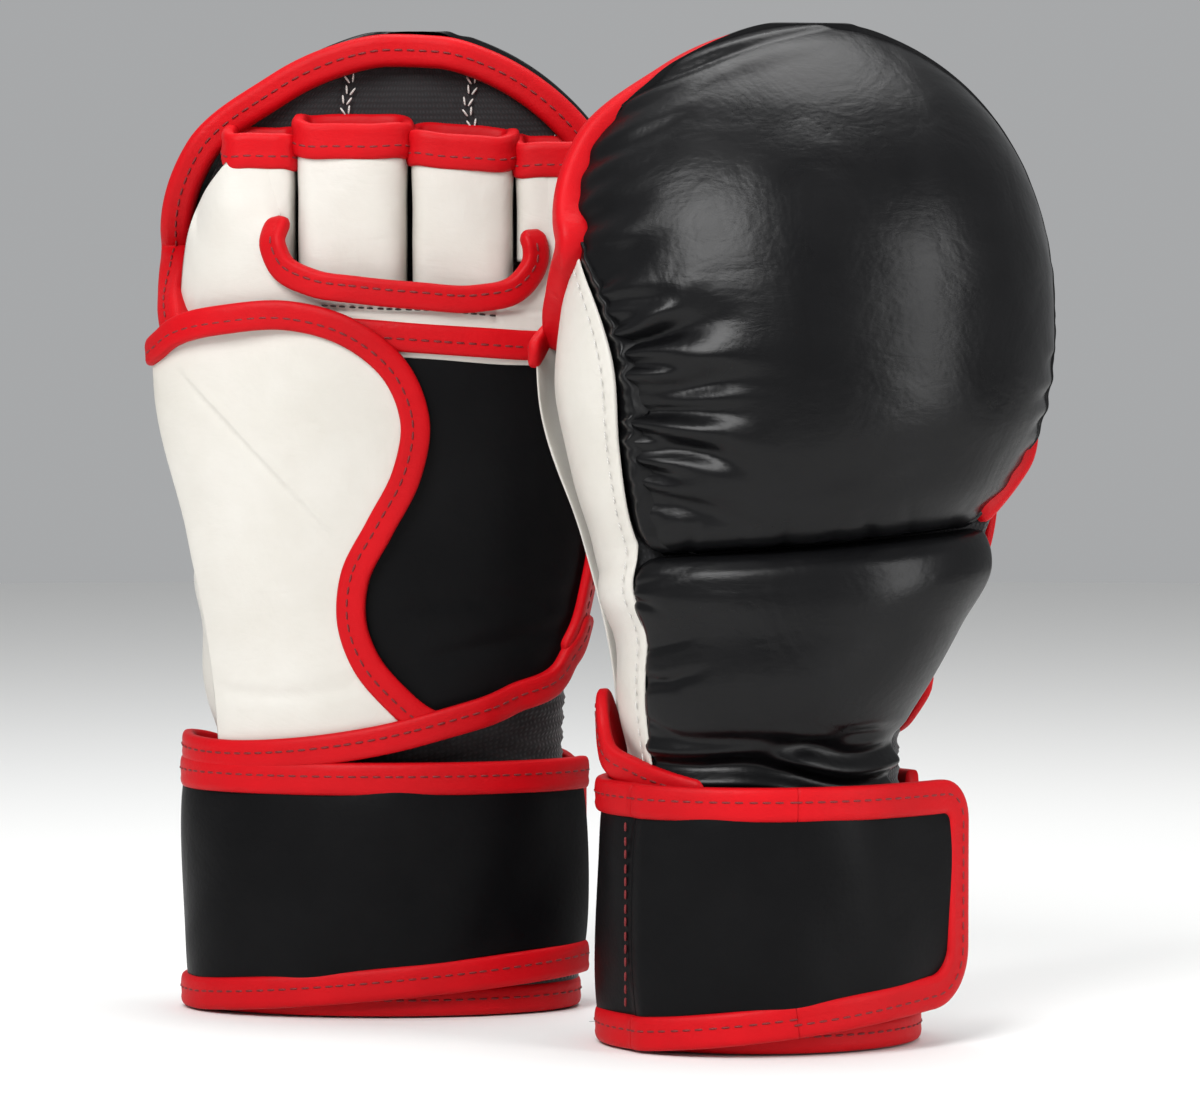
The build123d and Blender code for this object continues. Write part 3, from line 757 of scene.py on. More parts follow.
def makeLining(side):
    u = np.linspace(0, 1, 90)[:, None]
    v = np.linspace(0, 1, 150)[None, :]
    middle = liningPoint(side, u, v)
    normals = gridNormals(middle, np.array([0.0, -1.0, 0.0]))
    quilt = 0.0009 * bump(middle[..., 2], 0.262, 0.02) * np.sin(middle[..., 0] * 2 * np.pi / 0.028)
    border = leafBorder(90, 150)
    piece = makePiece(
        "Lining", side,
        slabGrids(
            middle, normals, lining["thickness"] / 2 * border + quilt * border,
            lining["thickness"] / 2 * border
        ),
        blackCloth, ("lining",)
    )
    grids = []
    for x, low, high in ((-0.0105, 0.250, 0.2695), (0.0245, 0.249, 0.2725), (0.0500, 0.250, 0.2620)):
        z = np.linspace(low, high, 40)
        v = (z - lining["low"]) / (lining["top"] - lining["low"])
        edge = liningPoint(side, np.array([[0.0], [1.0]]), v[None])
        u = np.clip(
            (x + 0.0008 * np.sin(z * 500) - edge[0, :, 0]) / (edge[1, :, 0] - edge[0, :, 0]), 0.03, 0.97
        )
        row = liningPoint(side, u, v) + np.array([0, -0.0014, 0])
        out = np.tile([0.0, -1.0, 0.0], (len(row), 1))
        grids += stitchGrids(row, out, 0.0030, 0.0026, 0.00034, 0.35, 0.0009)
        grids += stitchGrids(row, out, 0.0030, 0.0026, 0.00034, -0.35, -0.0009)
    makePiece("LiningStitches", side, grids, whiteThread)


# Gusset: white strip on the little finger side, from the hem to the hood
def makeGusset(side):
    u = np.linspace(0, 1, 40)[:, None]
    v = np.linspace(0, 1, 150)[None, :]
    z = 0.0735 + (0.2080 + 0.0120 * u - 0.0735) * v
    front = angleAtY(side, np.full(z.shape, -0.0165), z)
    rear = angleAtY(side, np.minimum(seamLittle(z), 0.009), z)
    angle = front + (rear - front) * u
    points = handPoint(side, angle, z, 0.0002)
    points[..., 1] = -0.0165 + (seamLittle(z[-1]) + 0.0010 + 0.0165)[None] * u
    # above the hand's space the strip reaches out to the seam of the knuckle pad
    pads = backPadLevels(side)[::-1]
    low = smoothCurve(pads[:-2, 0], pads[:-2, 1], z[-1])
    zLast = z[-1]
    rim = domePoint(np.zeros((1, 1)), np.linspace(0, 0.9, 400)[None])[0]
    padHalf = smoothCurve(pads[:-2, 0], (pads[:-2, 2] - pads[:-2, 1]) / 2, zLast)
    padBack = smoothCurve(pads[:-2, 0], pads[:-2, 3], zLast)
    padX = low + padHalf * (1 - np.sqrt(np.clip(1 - (seamLittle(zLast) / padBack) ** 2, 0, 1)))
    seamX = np.where(zLast < 0.139, padX, np.interp(zLast, rim[:, 2], rim[:, 0])) + 0.0012
    frontX = points[0, :, 0]
    # bows outwards between the palm and the seam, out to the width of the pad
    widest = np.minimum(frontX, seamX) - 0.0035 * np.sin(np.pi * v[0])
    t = u
    points[..., 0] = (
        frontX[None] * (1 - t) ** 2 + 2 * t * (1 - t) * (2 * widest - (frontX + seamX) / 2)[None]
        + seamX[None] * t**2
    )
    normals = gridNormals(points, np.array([-1.0, 0.0, 0.0]))
    border = leafBorder(40, 150)
    puff = 0.0016 * np.sin(np.pi * u) * (1 + 0.25 * np.sin(z * 95) + 0.2 * np.sin(z * 210 + 1))
    piece = makePiece(
        "Gusset", side, slabGrids(points, normals, (0.0008 + puff) * border, 0.0008 * border), whiteLeather,
        ("pinky_gusset",)
    )
    row = points[36] + normals[36] * 0.0016
    makePiece(
        "GussetStitches", side, stitchGrids(row[6:-6], normals[36][6:-6], 0.0036, 0.0022, 0.00024),
        whiteThread
    )


# Palm: black panel, its taped edges, and the white overlay with its S-shaped edge
palm = {"top": 0.1935, "thumbAngle": 19.0, "tape": 0.0086, "tapeHeight": 0.0034, "flapLift": 0.0026}


def makePalmPanel(side):
    rng = np.random.default_rng(gloves[side]["seed"] + 2)
    u = np.linspace(0, 1, 130)[:, None]
    v = np.linspace(0, 1, 130)[None, :]
    littleEnd = angleAtY(side, np.full(v.shape, -0.0185), 0.08 + 0.11 * v)
    thumbEnd = np.radians(palm["thumbAngle"]) + 0 * v
    angle = thumbEnd + (littleEnd - thumbEnd) * u
    low = hemZ(handPoint(side, angle, 0.088 + 0 * v)[..., 0]) + 0.001
    z = low + (palm["top"] - low) * v
    points = handPoint(side, angle, z, 0.0)
    out = handOut(side, angle, z)
    slack = softUnevenness(points, rng, 0.05, 0.0016)
    x = points[..., 0]
    slack -= (
        0.0009 * bump(z, 0.118 + 0.10 * (x - 0.02) + 0.002 * np.sin(x * 90), 0.0035)
        * smoothStep(0.0, 0.02, x)
    )
    slack -= 0.0010 * bump(z, 0.104 + 0.22 * (x - 0.02), 0.0028) * smoothStep(-0.005, 0.02, x)
    border = leafBorder(130, 130)
    makePiece(
        "PalmPanel", side, slabGrids(points, out, (0.0002 + slack * 0.8) * border, 0.0016 * border),
        strapLeather, ("palm_panel",)
    )


def onPalm(side, controls, lift, spacing=0.001):
    # a smooth line through front-view points (x, z), laid on the palm side at a distance off it
    line = pathThrough(controls, spacing)
    angle = angleAtX(side, line[:, 0], line[:, 1])
    return handPoint(side, angle, line[:, 1], lift), handOut(side, angle, line[:, 1])


def aroundHand(side, controls, lift, spacing=0.001):
    # a smooth line through (angle in degrees, z), laid round the hand at a distance off it
    dense = pathThrough(np.array(controls) * np.array([0.001, 1.0]), 0.0005)
    angle = np.radians(dense[:, 0] * 1000)
    points = handPoint(side, angle, dense[:, 1], lift)
    length = np.concatenate([[0], np.cumsum(np.linalg.norm(np.diff(points, axis=0), axis=1))])
    both = np.concatenate([points, handOut(side, angle, dense[:, 1])], 1)
    at = np.linspace(0, length[-1], int(length[-1] / spacing))
    both = np.stack([np.interp(at, length, both[:, k]) for k in range(6)], -1)
    return both[:, :3], unit(both[:, 3:])


def makeTape(name, side, line, out, width, height, gone, groove=0.0006, closed=False):
    # folded edge tape with a row of stitches pressed into it, nearer to its inner edge
    grid = bandGrid(line, out, bandSection(width, height, 28, 0.6, groove), closed)
    makePiece(name, side, [grid], redTape, gone)
    ends = slice(None) if closed else slice(4, -4)
    thread = (line + out * (height / 2 - 0.0002))[ends]
    makePiece(name + "Stitches", side, stitchGrids(thread, out[ends], shift=groove), darkThread)


def makePalmTapes(side):
    # top edge and thumb edge: little finger side, along the top, round the corner, down to the hem
    top = []
    for x in np.linspace(-0.050, 0.050, 9):
        angle = float(angleAtX(side, np.array(x), np.array(0.194)))
        top.append((math.degrees(angle), 0.1985 - 0.07 * (x + 0.05)))
    thumb = [(24.0, 0.1870), (18.5, 0.1780), (17.5, 0.1500), (17.5, 0.1250), (19.5, 0.1110), (25.0, 0.1030)]
    controls = top + thumb
    line, out = aroundHand(side, controls, 0.0006)
    makeTape("PalmTape", side, line, out, palm["tape"], palm["tapeHeight"], ("palm_binding",))
    # hem: from the thumb edge along the lower edge of the palm, round the little finger side and under
    # the strap
    hem = [
        (math.degrees(float(angleAtX(side, np.array(x), np.array(z)))), z)
        for x, z in (
            (0.050, 0.0985), (0.036, 0.0910), (0.018, 0.0850), (0.0, 0.0800), (-0.020, 0.0765),
            (-0.036, 0.0750)
        )
    ]
    hem = [(14, 0.1150), (17, 0.1075), (24, 0.1020)] + hem
    hem += gloves[side]["sideHem"]
    line, out = aroundHand(side, hem, 0.0012)
    # lifted where it runs over the overlay
    lift = (
        0.0034 * (1 - smoothStep(0.026, 0.040, line[:, :1]))
        * (1 - smoothStep(0.000, 0.012, line[:, 1:2]))
    )
    line = line + out * lift
    makeTape("HemTape", side, line, out, palm["tape"], palm["tapeHeight"] + 0.0004, ("hem_binding",))


def flapSwell(angle, z):
    # the overlay stands further off the hand towards its upper corner on the little finger side
    return (
        (0.0026 + 0.0020 * smoothStep(0.10, 0.19, z))
        * smoothStep(math.radians(125), math.radians(170), angle)
    )


def makePalmFlap(side):
    rng = np.random.default_rng(gloves[side]["seed"] + 3)
    curve = pathThrough(
        [
            (0.0150, 0.0810), (0.0050, 0.0905), (-0.0030, 0.1000), (-0.0080, 0.1110), (-0.0080, 0.1250),
            (-0.0020, 0.1400), (0.0062, 0.1560), (0.0088, 0.1700), (0.0035, 0.1850), (-0.0105, 0.1960),
            (-0.0240, 0.1995)
        ],
        0.001
    )
    count = len(curve)
    v = np.linspace(0, 1, count)[None, :]
    u = np.linspace(0, 1, 110)[:, None]
    rightAngle = angleAtX(side, curve[:, 0], curve[:, 1])[None]
    leftZ = 0.0755 + (0.1905 - 0.0755) * v
    leftAngle = angleAtY(side, np.full(v.shape, -0.0170), leftZ)
    angle = leftAngle + (rightAngle - leftAngle) * u
    z = leftZ + (curve[:, 1][None] - leftZ) * u + 0.0030 * np.sin(np.pi * u) * v**6
    out = handOut(side, angle, z)
    points = handPoint(side, angle, z, palm["flapLift"]) + out * flapSwell(angle, z)[..., None]
    x = points[..., 0]
    soft = softUnevenness(points, rng, 0.06, 0.0018)
    soft -= (
        0.00055 * bump(z, 0.185 - 1.07 * (x + 0.058), 0.0011) * smoothStep(-0.062, -0.050, x)
        * (1 - smoothStep(-0.018, -0.010, x))
    )
    soft += (
        0.00035 * bump(z, 0.1875 - 1.07 * (x + 0.058), 0.0018) * smoothStep(-0.062, -0.050, x)
        * (1 - smoothStep(-0.018, -0.010, x))
    )
    soft -= 0.0012 * bump(z, 0.147 - 0.5 * (x + 0.06), 0.010) * (1 - smoothStep(-0.055, -0.035, x))
    for k in range(4):
        soft -= (
            0.0006 * bump(z, 0.0865 + 0.004 * k + 0.10 * x * (k - 1.5), 0.0020)
            * bump(x, -0.045 + 0.014 * k, 0.012)
        )
    border = leafBorder(110, count)
    piece = makePiece(
        "PalmFlap", side, slabGrids(points, out, (0.0012 + soft) * border, 0.0012 * border), whiteLeather,
        ("palm_flap",)
    )
    edge = [
        (0.0150, 0.0832), (0.0100, 0.0860), (0.0030, 0.0925), (-0.0045, 0.1025), (-0.0080, 0.1135),
        (-0.0070, 0.1265), (-0.0005, 0.1400), (0.0070, 0.1555), (0.0093, 0.1705), (0.0040, 0.1850),
        (-0.0080, 0.1955), (-0.0240, 0.2005), (-0.0400, 0.1995), (-0.0530, 0.1955)
    ]
    angles = [(math.degrees(float(angleAtX(side, np.array(px), np.array(pz)))), pz) for px, pz in edge]
    last = math.degrees(float(angleAtY(side, np.array(-0.0175), np.array(0.190))))
    line, out = aroundHand(
        side, angles + [(last - 8, 0.1925), (last + 5, 0.1890)], palm["flapLift"] + 0.0006
    )
    turned = np.arctan2(-(line[:, 1] + 0.012), line[:, 0] - 0.003)
    line = line + out * flapSwell(np.where(turned < 0, np.pi, turned), line[:, 2])[:, None]
    makeTape("PalmFlapTape", side, line, out, 0.0084, 0.0038, ("palm_flap_binding",), groove=-0.0008)


# Finger side: white panel with a column up to the little and the index loop, round the taped grip slot
fingers = {
    "little": {
        "centre": -0.0345, "width": 0.0190, "front": -0.0320, "back": -0.0085, "low": 0.216, "tilt": -0.06,
        "rise": -0.0010
    },
    "ring": {
        "centre": -0.0085, "width": 0.0306, "front": -0.0350, "back": -0.0080, "low": 0.205, "tilt": -0.03,
        "rise": 0.0020
    },
    "middle": {
        "centre": 0.0228, "width": 0.0284, "front": -0.0345, "back": -0.0080, "low": 0.205, "tilt": -0.04,
        "rise": -0.0010
    },
    "index": {
        "centre": 0.0496, "width": 0.0228, "front": -0.0325, "back": -0.0085, "low": 0.216, "tilt": -0.03,
        "rise": -0.0035
    }
}
loopShape = {"top": 0.2440, "tapeTop": 0.2530, "wall": 0.0017, "corner": 0.40}


def loopOutline(finger, count, grow, z):
    # soft square: x = centre + half cos^p, y = middle + depth sin^p; the loop widens a little towards its top
    size = fingers[finger]
    a = np.arange(count) / count * 2 * np.pi
    p = loopShape["corner"]
    swell = 1 + 0.035 * smoothStep(size["low"], 0.245, z) - 0.02 * bump(z, 0.232, 0.008)
    half, depth = size["width"] / 2, (size["back"] - size["front"]) / 2
    x = size["centre"] + (half * swell + grow) * np.sign(np.cos(a)) * np.abs(np.cos(a)) ** p
    middle = (size["back"] + size["front"]) / 2
    y = middle + (depth * swell + grow) * np.sign(np.sin(a)) * np.abs(np.sin(a)) ** p
    lean = size["tilt"] * (x - size["centre"]) + 0.12 * (y - size["front"]) + size["rise"]
    return x, y, lean


def makeLoops(side):
    rng = np.random.default_rng(gloves[side]["seed"] + 4)
    for finger, size in fingers.items():
        profile = (
            [(0, size["low"]), (0, size["low"] + 0.001)]
            + [(0, z) for z in np.linspace(size["low"] + 0.002, loopShape["top"], 26)]
        )
        wall = loopShape["wall"]
        rings = []
        for grow, z in profile + [(-wall, p[1]) for p in profile[::-1]]:
            x, y, lean = loopOutline(finger, 96, grow, z)
            lift = lean * smoothStep(size["low"], 0.244, np.array(z))
            soften = 0.0004 * np.sin(x * 260 + z * 90 + rng.uniform(0, 0.2)) * (1 if grow == 0 else 0)
            rings.append(np.stack([x, y + soften * np.sign(y + 0.02), z + lift], -1))
        makePiece(
            finger.capitalize() + "Loop", side, [(np.stack(rings), True, True)], whiteLeather,
            (finger + "_loop",)
        )
        x, y, lean = loopOutline(finger, 120, -0.0004, 0.2445)
        z = (
            (loopShape["top"] + loopShape["tapeTop"]) / 2 - 0.0005 + lean
            + 0.0005 * np.sin(np.arange(120) / 120 * 2 * np.pi * 3 + rng.uniform(0, 6))
        )
        line = np.stack([x, y, z], -1)
        tangent = unit(np.roll(line, -1, 0) - np.roll(line, 1, 0))
        out = unit(np.cross(tangent, np.array([0.0, 0.0, 1.0])))
        out = out * np.sign(np.sum(out * (line - np.array([size["centre"], -0.02, 0.25])), -1).mean())
        section = bandSection(loopShape["tapeTop"] - loopShape["top"] + 0.0012, 0.0042, 26, 0.58, -0.0015)
        gone = ("loop_bindings",) if finger == "ring" else ()
        makePiece(
            finger.capitalize() + "LoopTape", side, [bandGrid(line, out, section, True)], redTape, gone
        )
        makePiece(
            finger.capitalize() + "LoopStitches", side,
            stitchGrids(line + out * 0.0019 - np.array([0, 0, 0.0015]), out), darkThread
        )


slotEdge = [
    (-0.0255, 0.2440), (-0.0275, 0.2330), (-0.0290, 0.2230), (-0.0265, 0.2155), (-0.0190, 0.2115),
    (-0.0060, 0.2095), (0.0100, 0.2080), (0.0260, 0.2072), (0.0350, 0.2095), (0.0400, 0.2160),
    (0.0405, 0.2260), (0.0395, 0.2340), (0.0398, 0.2440)
]


def makeFingerPanel(side):
    rng = np.random.default_rng(gloves[side]["seed"] + 5)
    inner = pathThrough(slotEdge, 0.001)
    count = len(inner)
    outerControls = [
        (-0.0440, 0.2440), (-0.0510, 0.2350), (-0.0560, 0.2230), (-0.0578, 0.2100), (-0.0580, 0.1980),
        (-0.0560, 0.1905), (-0.0440, 0.1890), (-0.0200, 0.1890), (0.0100, 0.1885), (0.0400, 0.1865),
        (0.0560, 0.1870), (0.0625, 0.1930), (0.0635, 0.2050), (0.0625, 0.2200), (0.0610, 0.2330),
        (0.0590, 0.2440)
    ]
    outer = pathThrough(outerControls, 0.0005)
    # matched by share of length, but the straight columns keep their own ends level
    share = np.linspace(0, 1, count)
    length = np.linspace(0, 1, len(outer))
    warped = np.interp(share, [0, 0.17, 0.30, 0.5, 0.72, 0.85, 1], [0, 0.155, 0.33, 0.51, 0.70, 0.84, 1])
    far = np.stack([np.interp(warped, length, outer[:, k]) for k in range(2)], -1)
    w = np.linspace(0, 1, 60)[None, :, None]
    flat = inner[:, None] * (1 - w) + far[:, None] * w
    angle = angleAtX(side, flat[..., 0], flat[..., 1])
    points = handPoint(side, angle, flat[..., 1], 0.0003)
    out = handOut(side, angle, flat[..., 1])
    x, z = flat[..., 0], flat[..., 1]
    column = smoothStep(0.218, 0.232, z)
    littleShape = -0.0328 + 0.010 * np.abs((x + 0.0365) / 0.0150) ** 3.5
    indexShape = -0.0330 + 0.010 * np.abs((x - 0.0500) / 0.0115) ** 3.5
    shape = np.where(x < 0, littleShape, indexShape)
    points[..., 1] = points[..., 1] * (1 - column) + np.minimum(shape, -0.021) * column
    soft = softUnevenness(points, rng, 0.045, 0.0014)
    soft -= 0.0007 * bump(x, -0.0165, 0.0006) * smoothStep(0.2020, 0.2035, z) * (z < 0.2125)
    soft -= 0.0007 * bump(x, 0.0320, 0.0006) * smoothStep(0.1975, 0.199, z) * (z < 0.2095)
    soft -= 0.0006 * bump(z, 0.2020, 0.0009)
    border = leafBorder(count, 60)
    makePiece(
        "FingerPanel", side, slabGrids(points, out, (0.0005 + soft) * border, 0.0014 * border),
        whiteLeather, ("finger_panel",)
    )
    row, rowOut = onPalm(
        side, [(-0.0165, 0.2035), (0.0, 0.2025), (0.016, 0.2020), (0.0320, 0.2005)], 0.0011
    )
    makePiece("FingerPanelStitches", side, stitchGrids(row, rowOut, 0.0026, 0.0019, 0.0003), blackThread)
    line, out = onPalm(
        side,
        [
            (-0.0305, 0.2290), (-0.0298, 0.2215), (-0.0265, 0.2140), (-0.0190, 0.2100), (-0.0060, 0.2078),
            (0.0100, 0.2062), (0.0260, 0.2054), (0.0370, 0.2082), (0.0420, 0.2150), (0.0418, 0.2250)
        ],
        0.0022
    )
    tuckIn = smoothStep(0.2200, 0.2290, line[:, 2])[:, None]  # both ends turn in behind the columns
    line = line - out * 0.0045 * tuckIn
    makeTape("GripTape", side, line, out, 0.0078, 0.0046, ("grip_binding",), groove=-0.0010)


# Cuff: padded cloth tube with a taped lower edge
cuff = {"outside": 0.0019, "inset": 0.0027, "wall": 0.0020, "tapeHeight": 0.0080}


def makeCuff(side):
    angle = (np.arange(200) / 200 * 2 * np.pi)[None, :]
    top = 0.0870 + 0.0145 * np.cos(angle)
    steps = np.linspace(0, 1, 70)[:, None]
    zOut = 0.0012 + (top - 0.0012) * steps
    grow = cuff["outside"] + (-cuff["inset"] - cuff["outside"]) * smoothStep(0.0585, 0.0630, zOut)
    ripple = (
        0.0011 * np.sin(zOut * 2 * np.pi / 0.0105 + 1.6 * np.sin(angle * 4))
        * smoothStep(0.062, 0.070, zOut) * smoothStep(0, 0.003, top - zOut)
    )
    outer = handPoint(side, angle, zOut, grow - 0.0006 - np.abs(ripple) * 0.9 + 0.0004)
    inside = -cuff["inset"] - cuff["wall"]
    zIn = zOut[::-1]
    inner = handPoint(side, angle, zIn, inside)
    crest = handPoint(side, angle, top + 0.0007, -cuff["inset"] - cuff["wall"] / 2)
    base = handPoint(side, angle, np.full(angle.shape, 0.0003), -0.0022)
    rings = np.concatenate([outer, crest, inner, base])
    piece = makePiece("Cuff", side, [(rings, True, True)], blackCloth, ("cuff",))
    line = handPoint(side, angle[0], np.full(200, 0.0046), cuff["outside"] - 0.0014)
    out = handOut(side, angle[0], np.full(200, 0.060))
    makeTape("CuffTape", side, line, out, 0.0082, 0.0040, ("cuff_binding",), closed=True)


# Wrist wrap and strap: one path round the cuff, seen from above, from the thumb side of the palm, round the
# little finger side and over the back, then straight on; s is the length along it
strapShape = {
    "start": 346.5, "stitch": 151.0, "bend": 92.5, "straight": 60.0, "top": 0.0735, "bottom": 0.0006,
    "rise": 0.0100, "middle": 0.037, "wrapLift": 0.0048, "strapLift": 0.0066, "leather": 0.0026,
    "tape": 0.0094, "tapeHeight": 0.0044, "upperCorner": 0.0115, "lowerCorner": 0.0165
}


def strapPath(side):
    g = gloves[side]
    angle = np.radians(np.linspace(strapShape["start"], strapShape["straight"], 1400))
    centre, half, depth = (g["thumb"] + g["little"]) / 2, (g["thumb"] - g["little"]) / 2, g["depth"] / 2
    lift = (
        strapShape["wrapLift"]
        + (strapShape["strapLift"] - strapShape["wrapLift"])
        * smoothStep(math.radians(156), math.radians(146), angle)
    )
    flat = np.stack([centre + (half + lift) * np.cos(angle), (depth + lift) * np.sin(angle)], -1)
    ahead = unit(flat[-1] - flat[-2])
    tab = np.linspace(0, g["tab"], 200)[1:, None]
    curl = 0.0045 * (tab / g["tab"]) ** 2.2  # the free end leans back towards the cuff a little
    flat = np.concatenate([flat, flat[-1] + ahead * tab + np.array([-ahead[1], ahead[0]]) * -curl])
    s = np.concatenate([[0], np.cumsum(np.linalg.norm(np.diff(flat, axis=0), axis=1))])
    marks = {
        key: float(
            np.interp(
                -strapShape[key], -np.linspace(strapShape["start"], strapShape["straight"], 1400), s[:1400]
            )
        )
        for key in ("stitch", "bend")
    }
    return s, flat, {**marks, "end": float(s[-1])}


def onStrap(side, s, z, lift=0.0):
    # point = path at s, moved outwards by lift, at height z; also gives the outward direction
    length, flat = strapPath(side)[:2]
    here = np.stack([np.interp(s, length, flat[:, k]) for k in range(2)], -1)
    ahead = unit(
        np.stack(
            [
                np.interp(s + 0.001, length, flat[:, k]) - np.interp(s - 0.001, length, flat[:, k])
                for k in range(2)
            ],
            -1
        )
    )
    out = np.stack([-ahead[..., 1], ahead[..., 0], 0 * ahead[..., 0]], -1)
    centre = (gloves[side]["thumb"] + gloves[side]["little"]) / 2
    if np.sum(out.reshape(-1, 3)[0, :2] * (here.reshape(-1, 2)[0] - np.array([centre, 0]))) < 0:
        out = -out
    z = np.broadcast_to(z, here.shape[:-1])
    return np.stack([here[..., 0] + out[..., 0] * lift, here[..., 1] + out[..., 1] * lift, z], -1), out


def strapLow(side, s):
    # the lower edge climbs with x towards the thumb
    g = gloves[side]
    length, flat = strapPath(side)[:2]
    x = np.interp(s, length, flat[:, 0])
    return (
        strapShape["bottom"]
        + strapShape["rise"] * np.clip((x - g["little"]) / (g["thumb"] - g["little"]), 0, 1.3)
    )


def sewnSteps(first, last, count):
    # even steps along the strap, with two more close to each end
    middle = np.linspace(first + 0.0001, last - 0.0001, count - 4)
    return np.concatenate([[first, first + 0.00001], middle, [last - 0.00001, last]])


def cornerDrop(left, radius):
    # radius - sqrt(radius^2 - x^2), where x is how far a place lies inside the rounded corner
    return radius - np.sqrt(np.maximum(radius ** 2 - np.clip(left + radius, 0, None) ** 2, 0))


def makeStrap(side):
    rng = np.random.default_rng(gloves[side]["seed"] + 7)
    marks = strapPath(side)[2]
    shape = strapShape
    inset = shape["tape"] * 0.62
    waves = rng.uniform(0, 6.28, 4)

    def leafAt(first, last, count):
        s = sewnSteps(first, last, count)[:, None] + np.zeros((1, 70))
        low, high = strapLow(side, s), shape["top"]
        t = np.linspace(0, 1, 70)[None, :]
        left = s - marks["end"]
        roundTop, roundLow = cornerDrop(left, shape["upperCorner"]), cornerDrop(left, shape["lowerCorner"])
        z = (low + inset + 0.8 * roundLow) * (1 - t) + (high - inset - 0.8 * roundTop) * t
        crown = (
            0.0007 * np.sin(np.pi * t) ** 0.7 + 0.0006 * np.sin(s * 62 + waves[0] + z * 25)
            + 0.0004 * np.sin(s * 170 + z * 80 + waves[1])
        )
        points, out = onStrap(side, s, z, crown)
        return points, out

    def leaf(name, first, last, count, gone, body=None):
        points, out = leafAt(first, last, count)
        ends = np.ones(count)
        ends[0] = ends[-1] = 0
        half = shape["leather"] / 2 * ends[:, None] * edgeRound(70)[None, :]
        return makePiece(name, side, slabGrids(points, out, half, half), strapLeather, gone, body)

    def edgeLine(first, last, upper):
        s = sewnSteps(first, last, int((last - first) / 0.001) + 4)
        z = (
            np.full(s.shape, shape["top"] - shape["tape"] / 2) if upper
            else strapLow(side, s) + shape["tape"] / 2
        )
        points, out = onStrap(side, s, z)
        return points, out

    def edgeTapes(name, first, last, gone, body=None):
        # both edge tapes of a stretch, with their stitches
        grids, threads = [], []
        for upper in (True, False):
            line, out = edgeLine(first, last, upper)
            grids.append(bandGrid(line, out, section, blunt=True))
            threads += stitchGrids(line + out * threadLift, out, shift=stitchShift)
        return [
            makePiece(name + "Tape", side, grids, redTape, gone, body),
            makePiece(name + "Stitches", side, threads, darkThread, body=body)
        ]

    def bendAt(pieces, first, last):
        # bakes each piece's placement into its mesh; the points at the two places along the strap are worked
        # out but not used
        start, end = [onStrap(side, np.array(s), shape["middle"])[0] for s in (first, last)]
        for piece in pieces:
            toFrame(side, start)
            toFrame(side, end)
            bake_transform(piece)

    stitchShift, threadLift = 0.0008, shape["tapeHeight"] / 2 - 0.0002
    section = bandSection(shape["tape"], shape["tapeHeight"], 30, 0.55, -stitchShift)
    # fixed wrap, sewn down on the palm side
    leaf("WristWrap", 0.001, marks["stitch"] - 0.0004, 260, ("wrist_wrap",), "glove")
    edgeTapes("WristWrap", 0.0008, marks["stitch"] - 0.0004, ("wrist_wrap_bindings",), "glove")
    wrapEnd = np.linspace(0.0125, shape["top"] - 0.0110, 60)
    line, out = onStrap(side, np.full(60, marks["stitch"] - 0.0035), wrapEnd, shape["leather"] / 2 + 0.0006)
    makePiece("StitchLine", side, stitchGrids(line, out, 0.0036, 0.0026, 0.0004), darkThread)

    # moving strap, from the stitch line to half way over the back, then its free end
    pieces = [leaf("Strap", marks["stitch"] + 0.0002, marks["bend"] - 0.0001, 90, ("strap",))]
    pieces += edgeTapes("Strap", marks["stitch"] + 0.0002, marks["bend"] + 0.0004, ("strap_bindings",))
    bendAt(pieces, marks["stitch"] + 0.001, marks["stitch"] + 0.013)

    tipEnd = marks["end"] - shape["tape"] * 0.6
    pieces = [leaf("StrapTip", marks["bend"] - 0.0001, tipEnd, 110, ("strap_tip",))]
    half = shape["tape"] / 2
    first = marks["bend"] - 0.0004
    turnTop, turnLow = shape["upperCorner"] - half, shape["lowerCorner"] - half
    topZ, endS = shape["top"] - half, marks["end"] - half
    a = np.linspace(0, np.pi / 2, 24)
    straight = np.linspace(first, endS - turnTop, 60)
    lowEnd = strapLow(side, np.array(endS - turnLow)) + half
    back = np.linspace(endS - turnLow, first, 60)
    s = np.concatenate(
        [
            straight, endS - turnTop + turnTop * np.sin(a), np.full(30, endS),
            endS - turnLow + turnLow * np.cos(a), back
        ]
    )
    z = np.concatenate(
        [
            np.full(60, topZ), topZ - turnTop + turnTop * np.cos(a),
            np.linspace(topZ - turnTop, lowEnd + turnLow, 30), lowEnd + turnLow - turnLow * np.sin(a),
            strapLow(side, back) + half
        ]
    )
    outline = evenly(np.stack([s, z], -1), 0.001)
    line, out = onStrap(side, outline[:, 0], outline[:, 1])
    grid = bandGrid(line, out, section, blunt=True)
    pieces.append(makePiece("StrapTipTape", side, [grid], redTape, ("strap_tip_binding",), None))
    threads = stitchGrids(line + out * threadLift, out, shift=stitchShift)
    pieces.append(makePiece("StrapTipStitches", side, threads, darkThread, body=None))
    bendAt(pieces, marks["bend"] + 0.0004, marks["bend"] + 0.0125)
    for node in ("loop_patch", "hook_patch"):
        patch = nodes[side + "_" + node]
        for slot in patch.material_slots:
            slot.material = hookTape


for side in gloves:
    makeKnucklePad(side)
    makeBackPad(side)
    makeHoodTape(side)
    print(side, "pads and hood made")
    makeLining(side)
    makeGusset(side)
    makePalmPanel(side)
    makePalmFlap(side)
    makePalmTapes(side)
    print(side, "palm made")
    makeFingerPanel(side)
    makeLoops(side)
    print(side, "fingers made")
    makeCuff(side)
    makeStrap(side)
    print(side, "cuff and strap made")


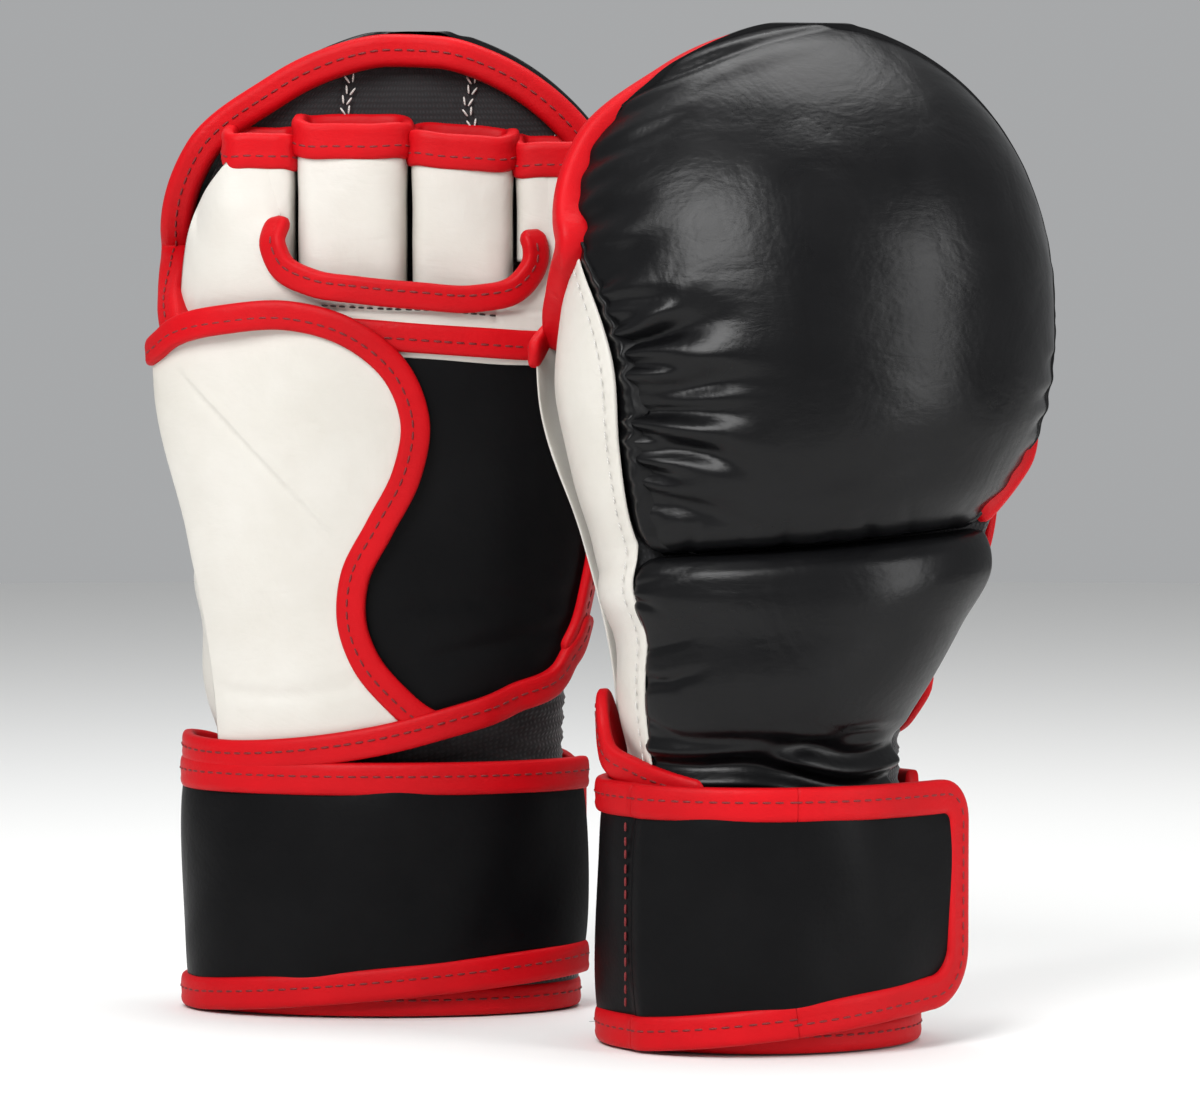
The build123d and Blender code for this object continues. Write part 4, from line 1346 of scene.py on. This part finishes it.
# Studio: a wide pale floor, a pale sky of the same brightness, soft lights, and the camera a little above
# the gloves
studio = {
    "floor": (0.80, 0.80, 0.79), "reach": 2.55, "world": (0.92, 0.935, 0.95), "worldStrength": 0.42,
    "lens": 170.0, "distance": 1.606, "rise": 2.5, "aim": (0.0022, 0.0, 0.1345)
}


def makeFloor():
    # flat rings round the gloves: x = r cos a, y = r sin a, z = 0, and r grows as t cubed
    turn = (np.arange(96) / 96 * 2 * np.pi)[:, None]
    radius = 0.001 + studio["reach"] * np.linspace(0, 1, 20) ** 3
    points = np.stack([radius * np.cos(turn), radius * np.sin(turn), 0 * radius * turn], -1)
    mesh = bpy.data.meshes.new("floor")
    mesh.from_pydata(
        points.reshape(-1, 3).tolist(), [], gridFaces(96, len(radius), True, False, 0).tolist()
    )
    mesh.polygons.foreach_set("use_smooth", np.ones(len(mesh.polygons), bool))
    material, _, shader, _ = startMaterial("paleFloor")
    shader.inputs["Base Color"].default_value = (*studio["floor"], 1)
    shader.inputs["Roughness"].default_value = 0.7
    mesh.materials.append(material)
    floor = bpy.data.objects.new("floor", mesh)
    bpy.context.collection.objects.link(floor)


def addLight(name, place, aim, size, power, colour=(1, 1, 1)):
    data = bpy.data.lights.new(name, "AREA")
    data.shape, data.size, data.size_y, data.energy, data.color = "RECTANGLE", size[0], size[1], power, colour
    light = bpy.data.objects.new(name, data)
    light.location = place
    direction = np.array(aim) - np.array(place)
    light.rotation_euler = (
        math.atan2(math.hypot(direction[0], direction[1]), -direction[2]), 0,
        math.atan2(direction[0], -direction[1]) + math.pi
    )
    bpy.context.collection.objects.link(light)


makeFloor()
addLight("keyLight", (-0.55, -1.15, 1.15), (0, 0, 0.15), (0.75, 0.75), 26)
addLight("fillLight", (1.30, -0.85, 0.60), (0, 0, 0.14), (0.5, 1.1), 12)
addLight("topLight", (0.1, 0.25, 1.5), (0, 0, 0.1), (1.0, 0.8), 16)
world = bpy.data.worlds.new("studio")
world.use_nodes = True
world.node_tree.nodes["Background"].inputs[0].default_value = (*studio["world"], 1)
world.node_tree.nodes["Background"].inputs[1].default_value = studio["worldStrength"]
bpy.context.scene.world = world
bpy.context.scene.view_settings.view_transform = "Standard"

camera = bpy.data.objects.new("camera", bpy.data.cameras.new("camera"))
camera.data.lens = studio["lens"]
camera.data.sensor_width = 36
rise = math.radians(studio["rise"])
camera.location = (
    studio["aim"][0], studio["aim"][1] - studio["distance"] * math.cos(rise),
    studio["aim"][2] + studio["distance"] * math.sin(rise)
)
camera.rotation_euler = (math.pi / 2 - rise, 0, 0)
bpy.context.collection.objects.link(camera)
bpy.context.scene.camera = camera
print("studio made")
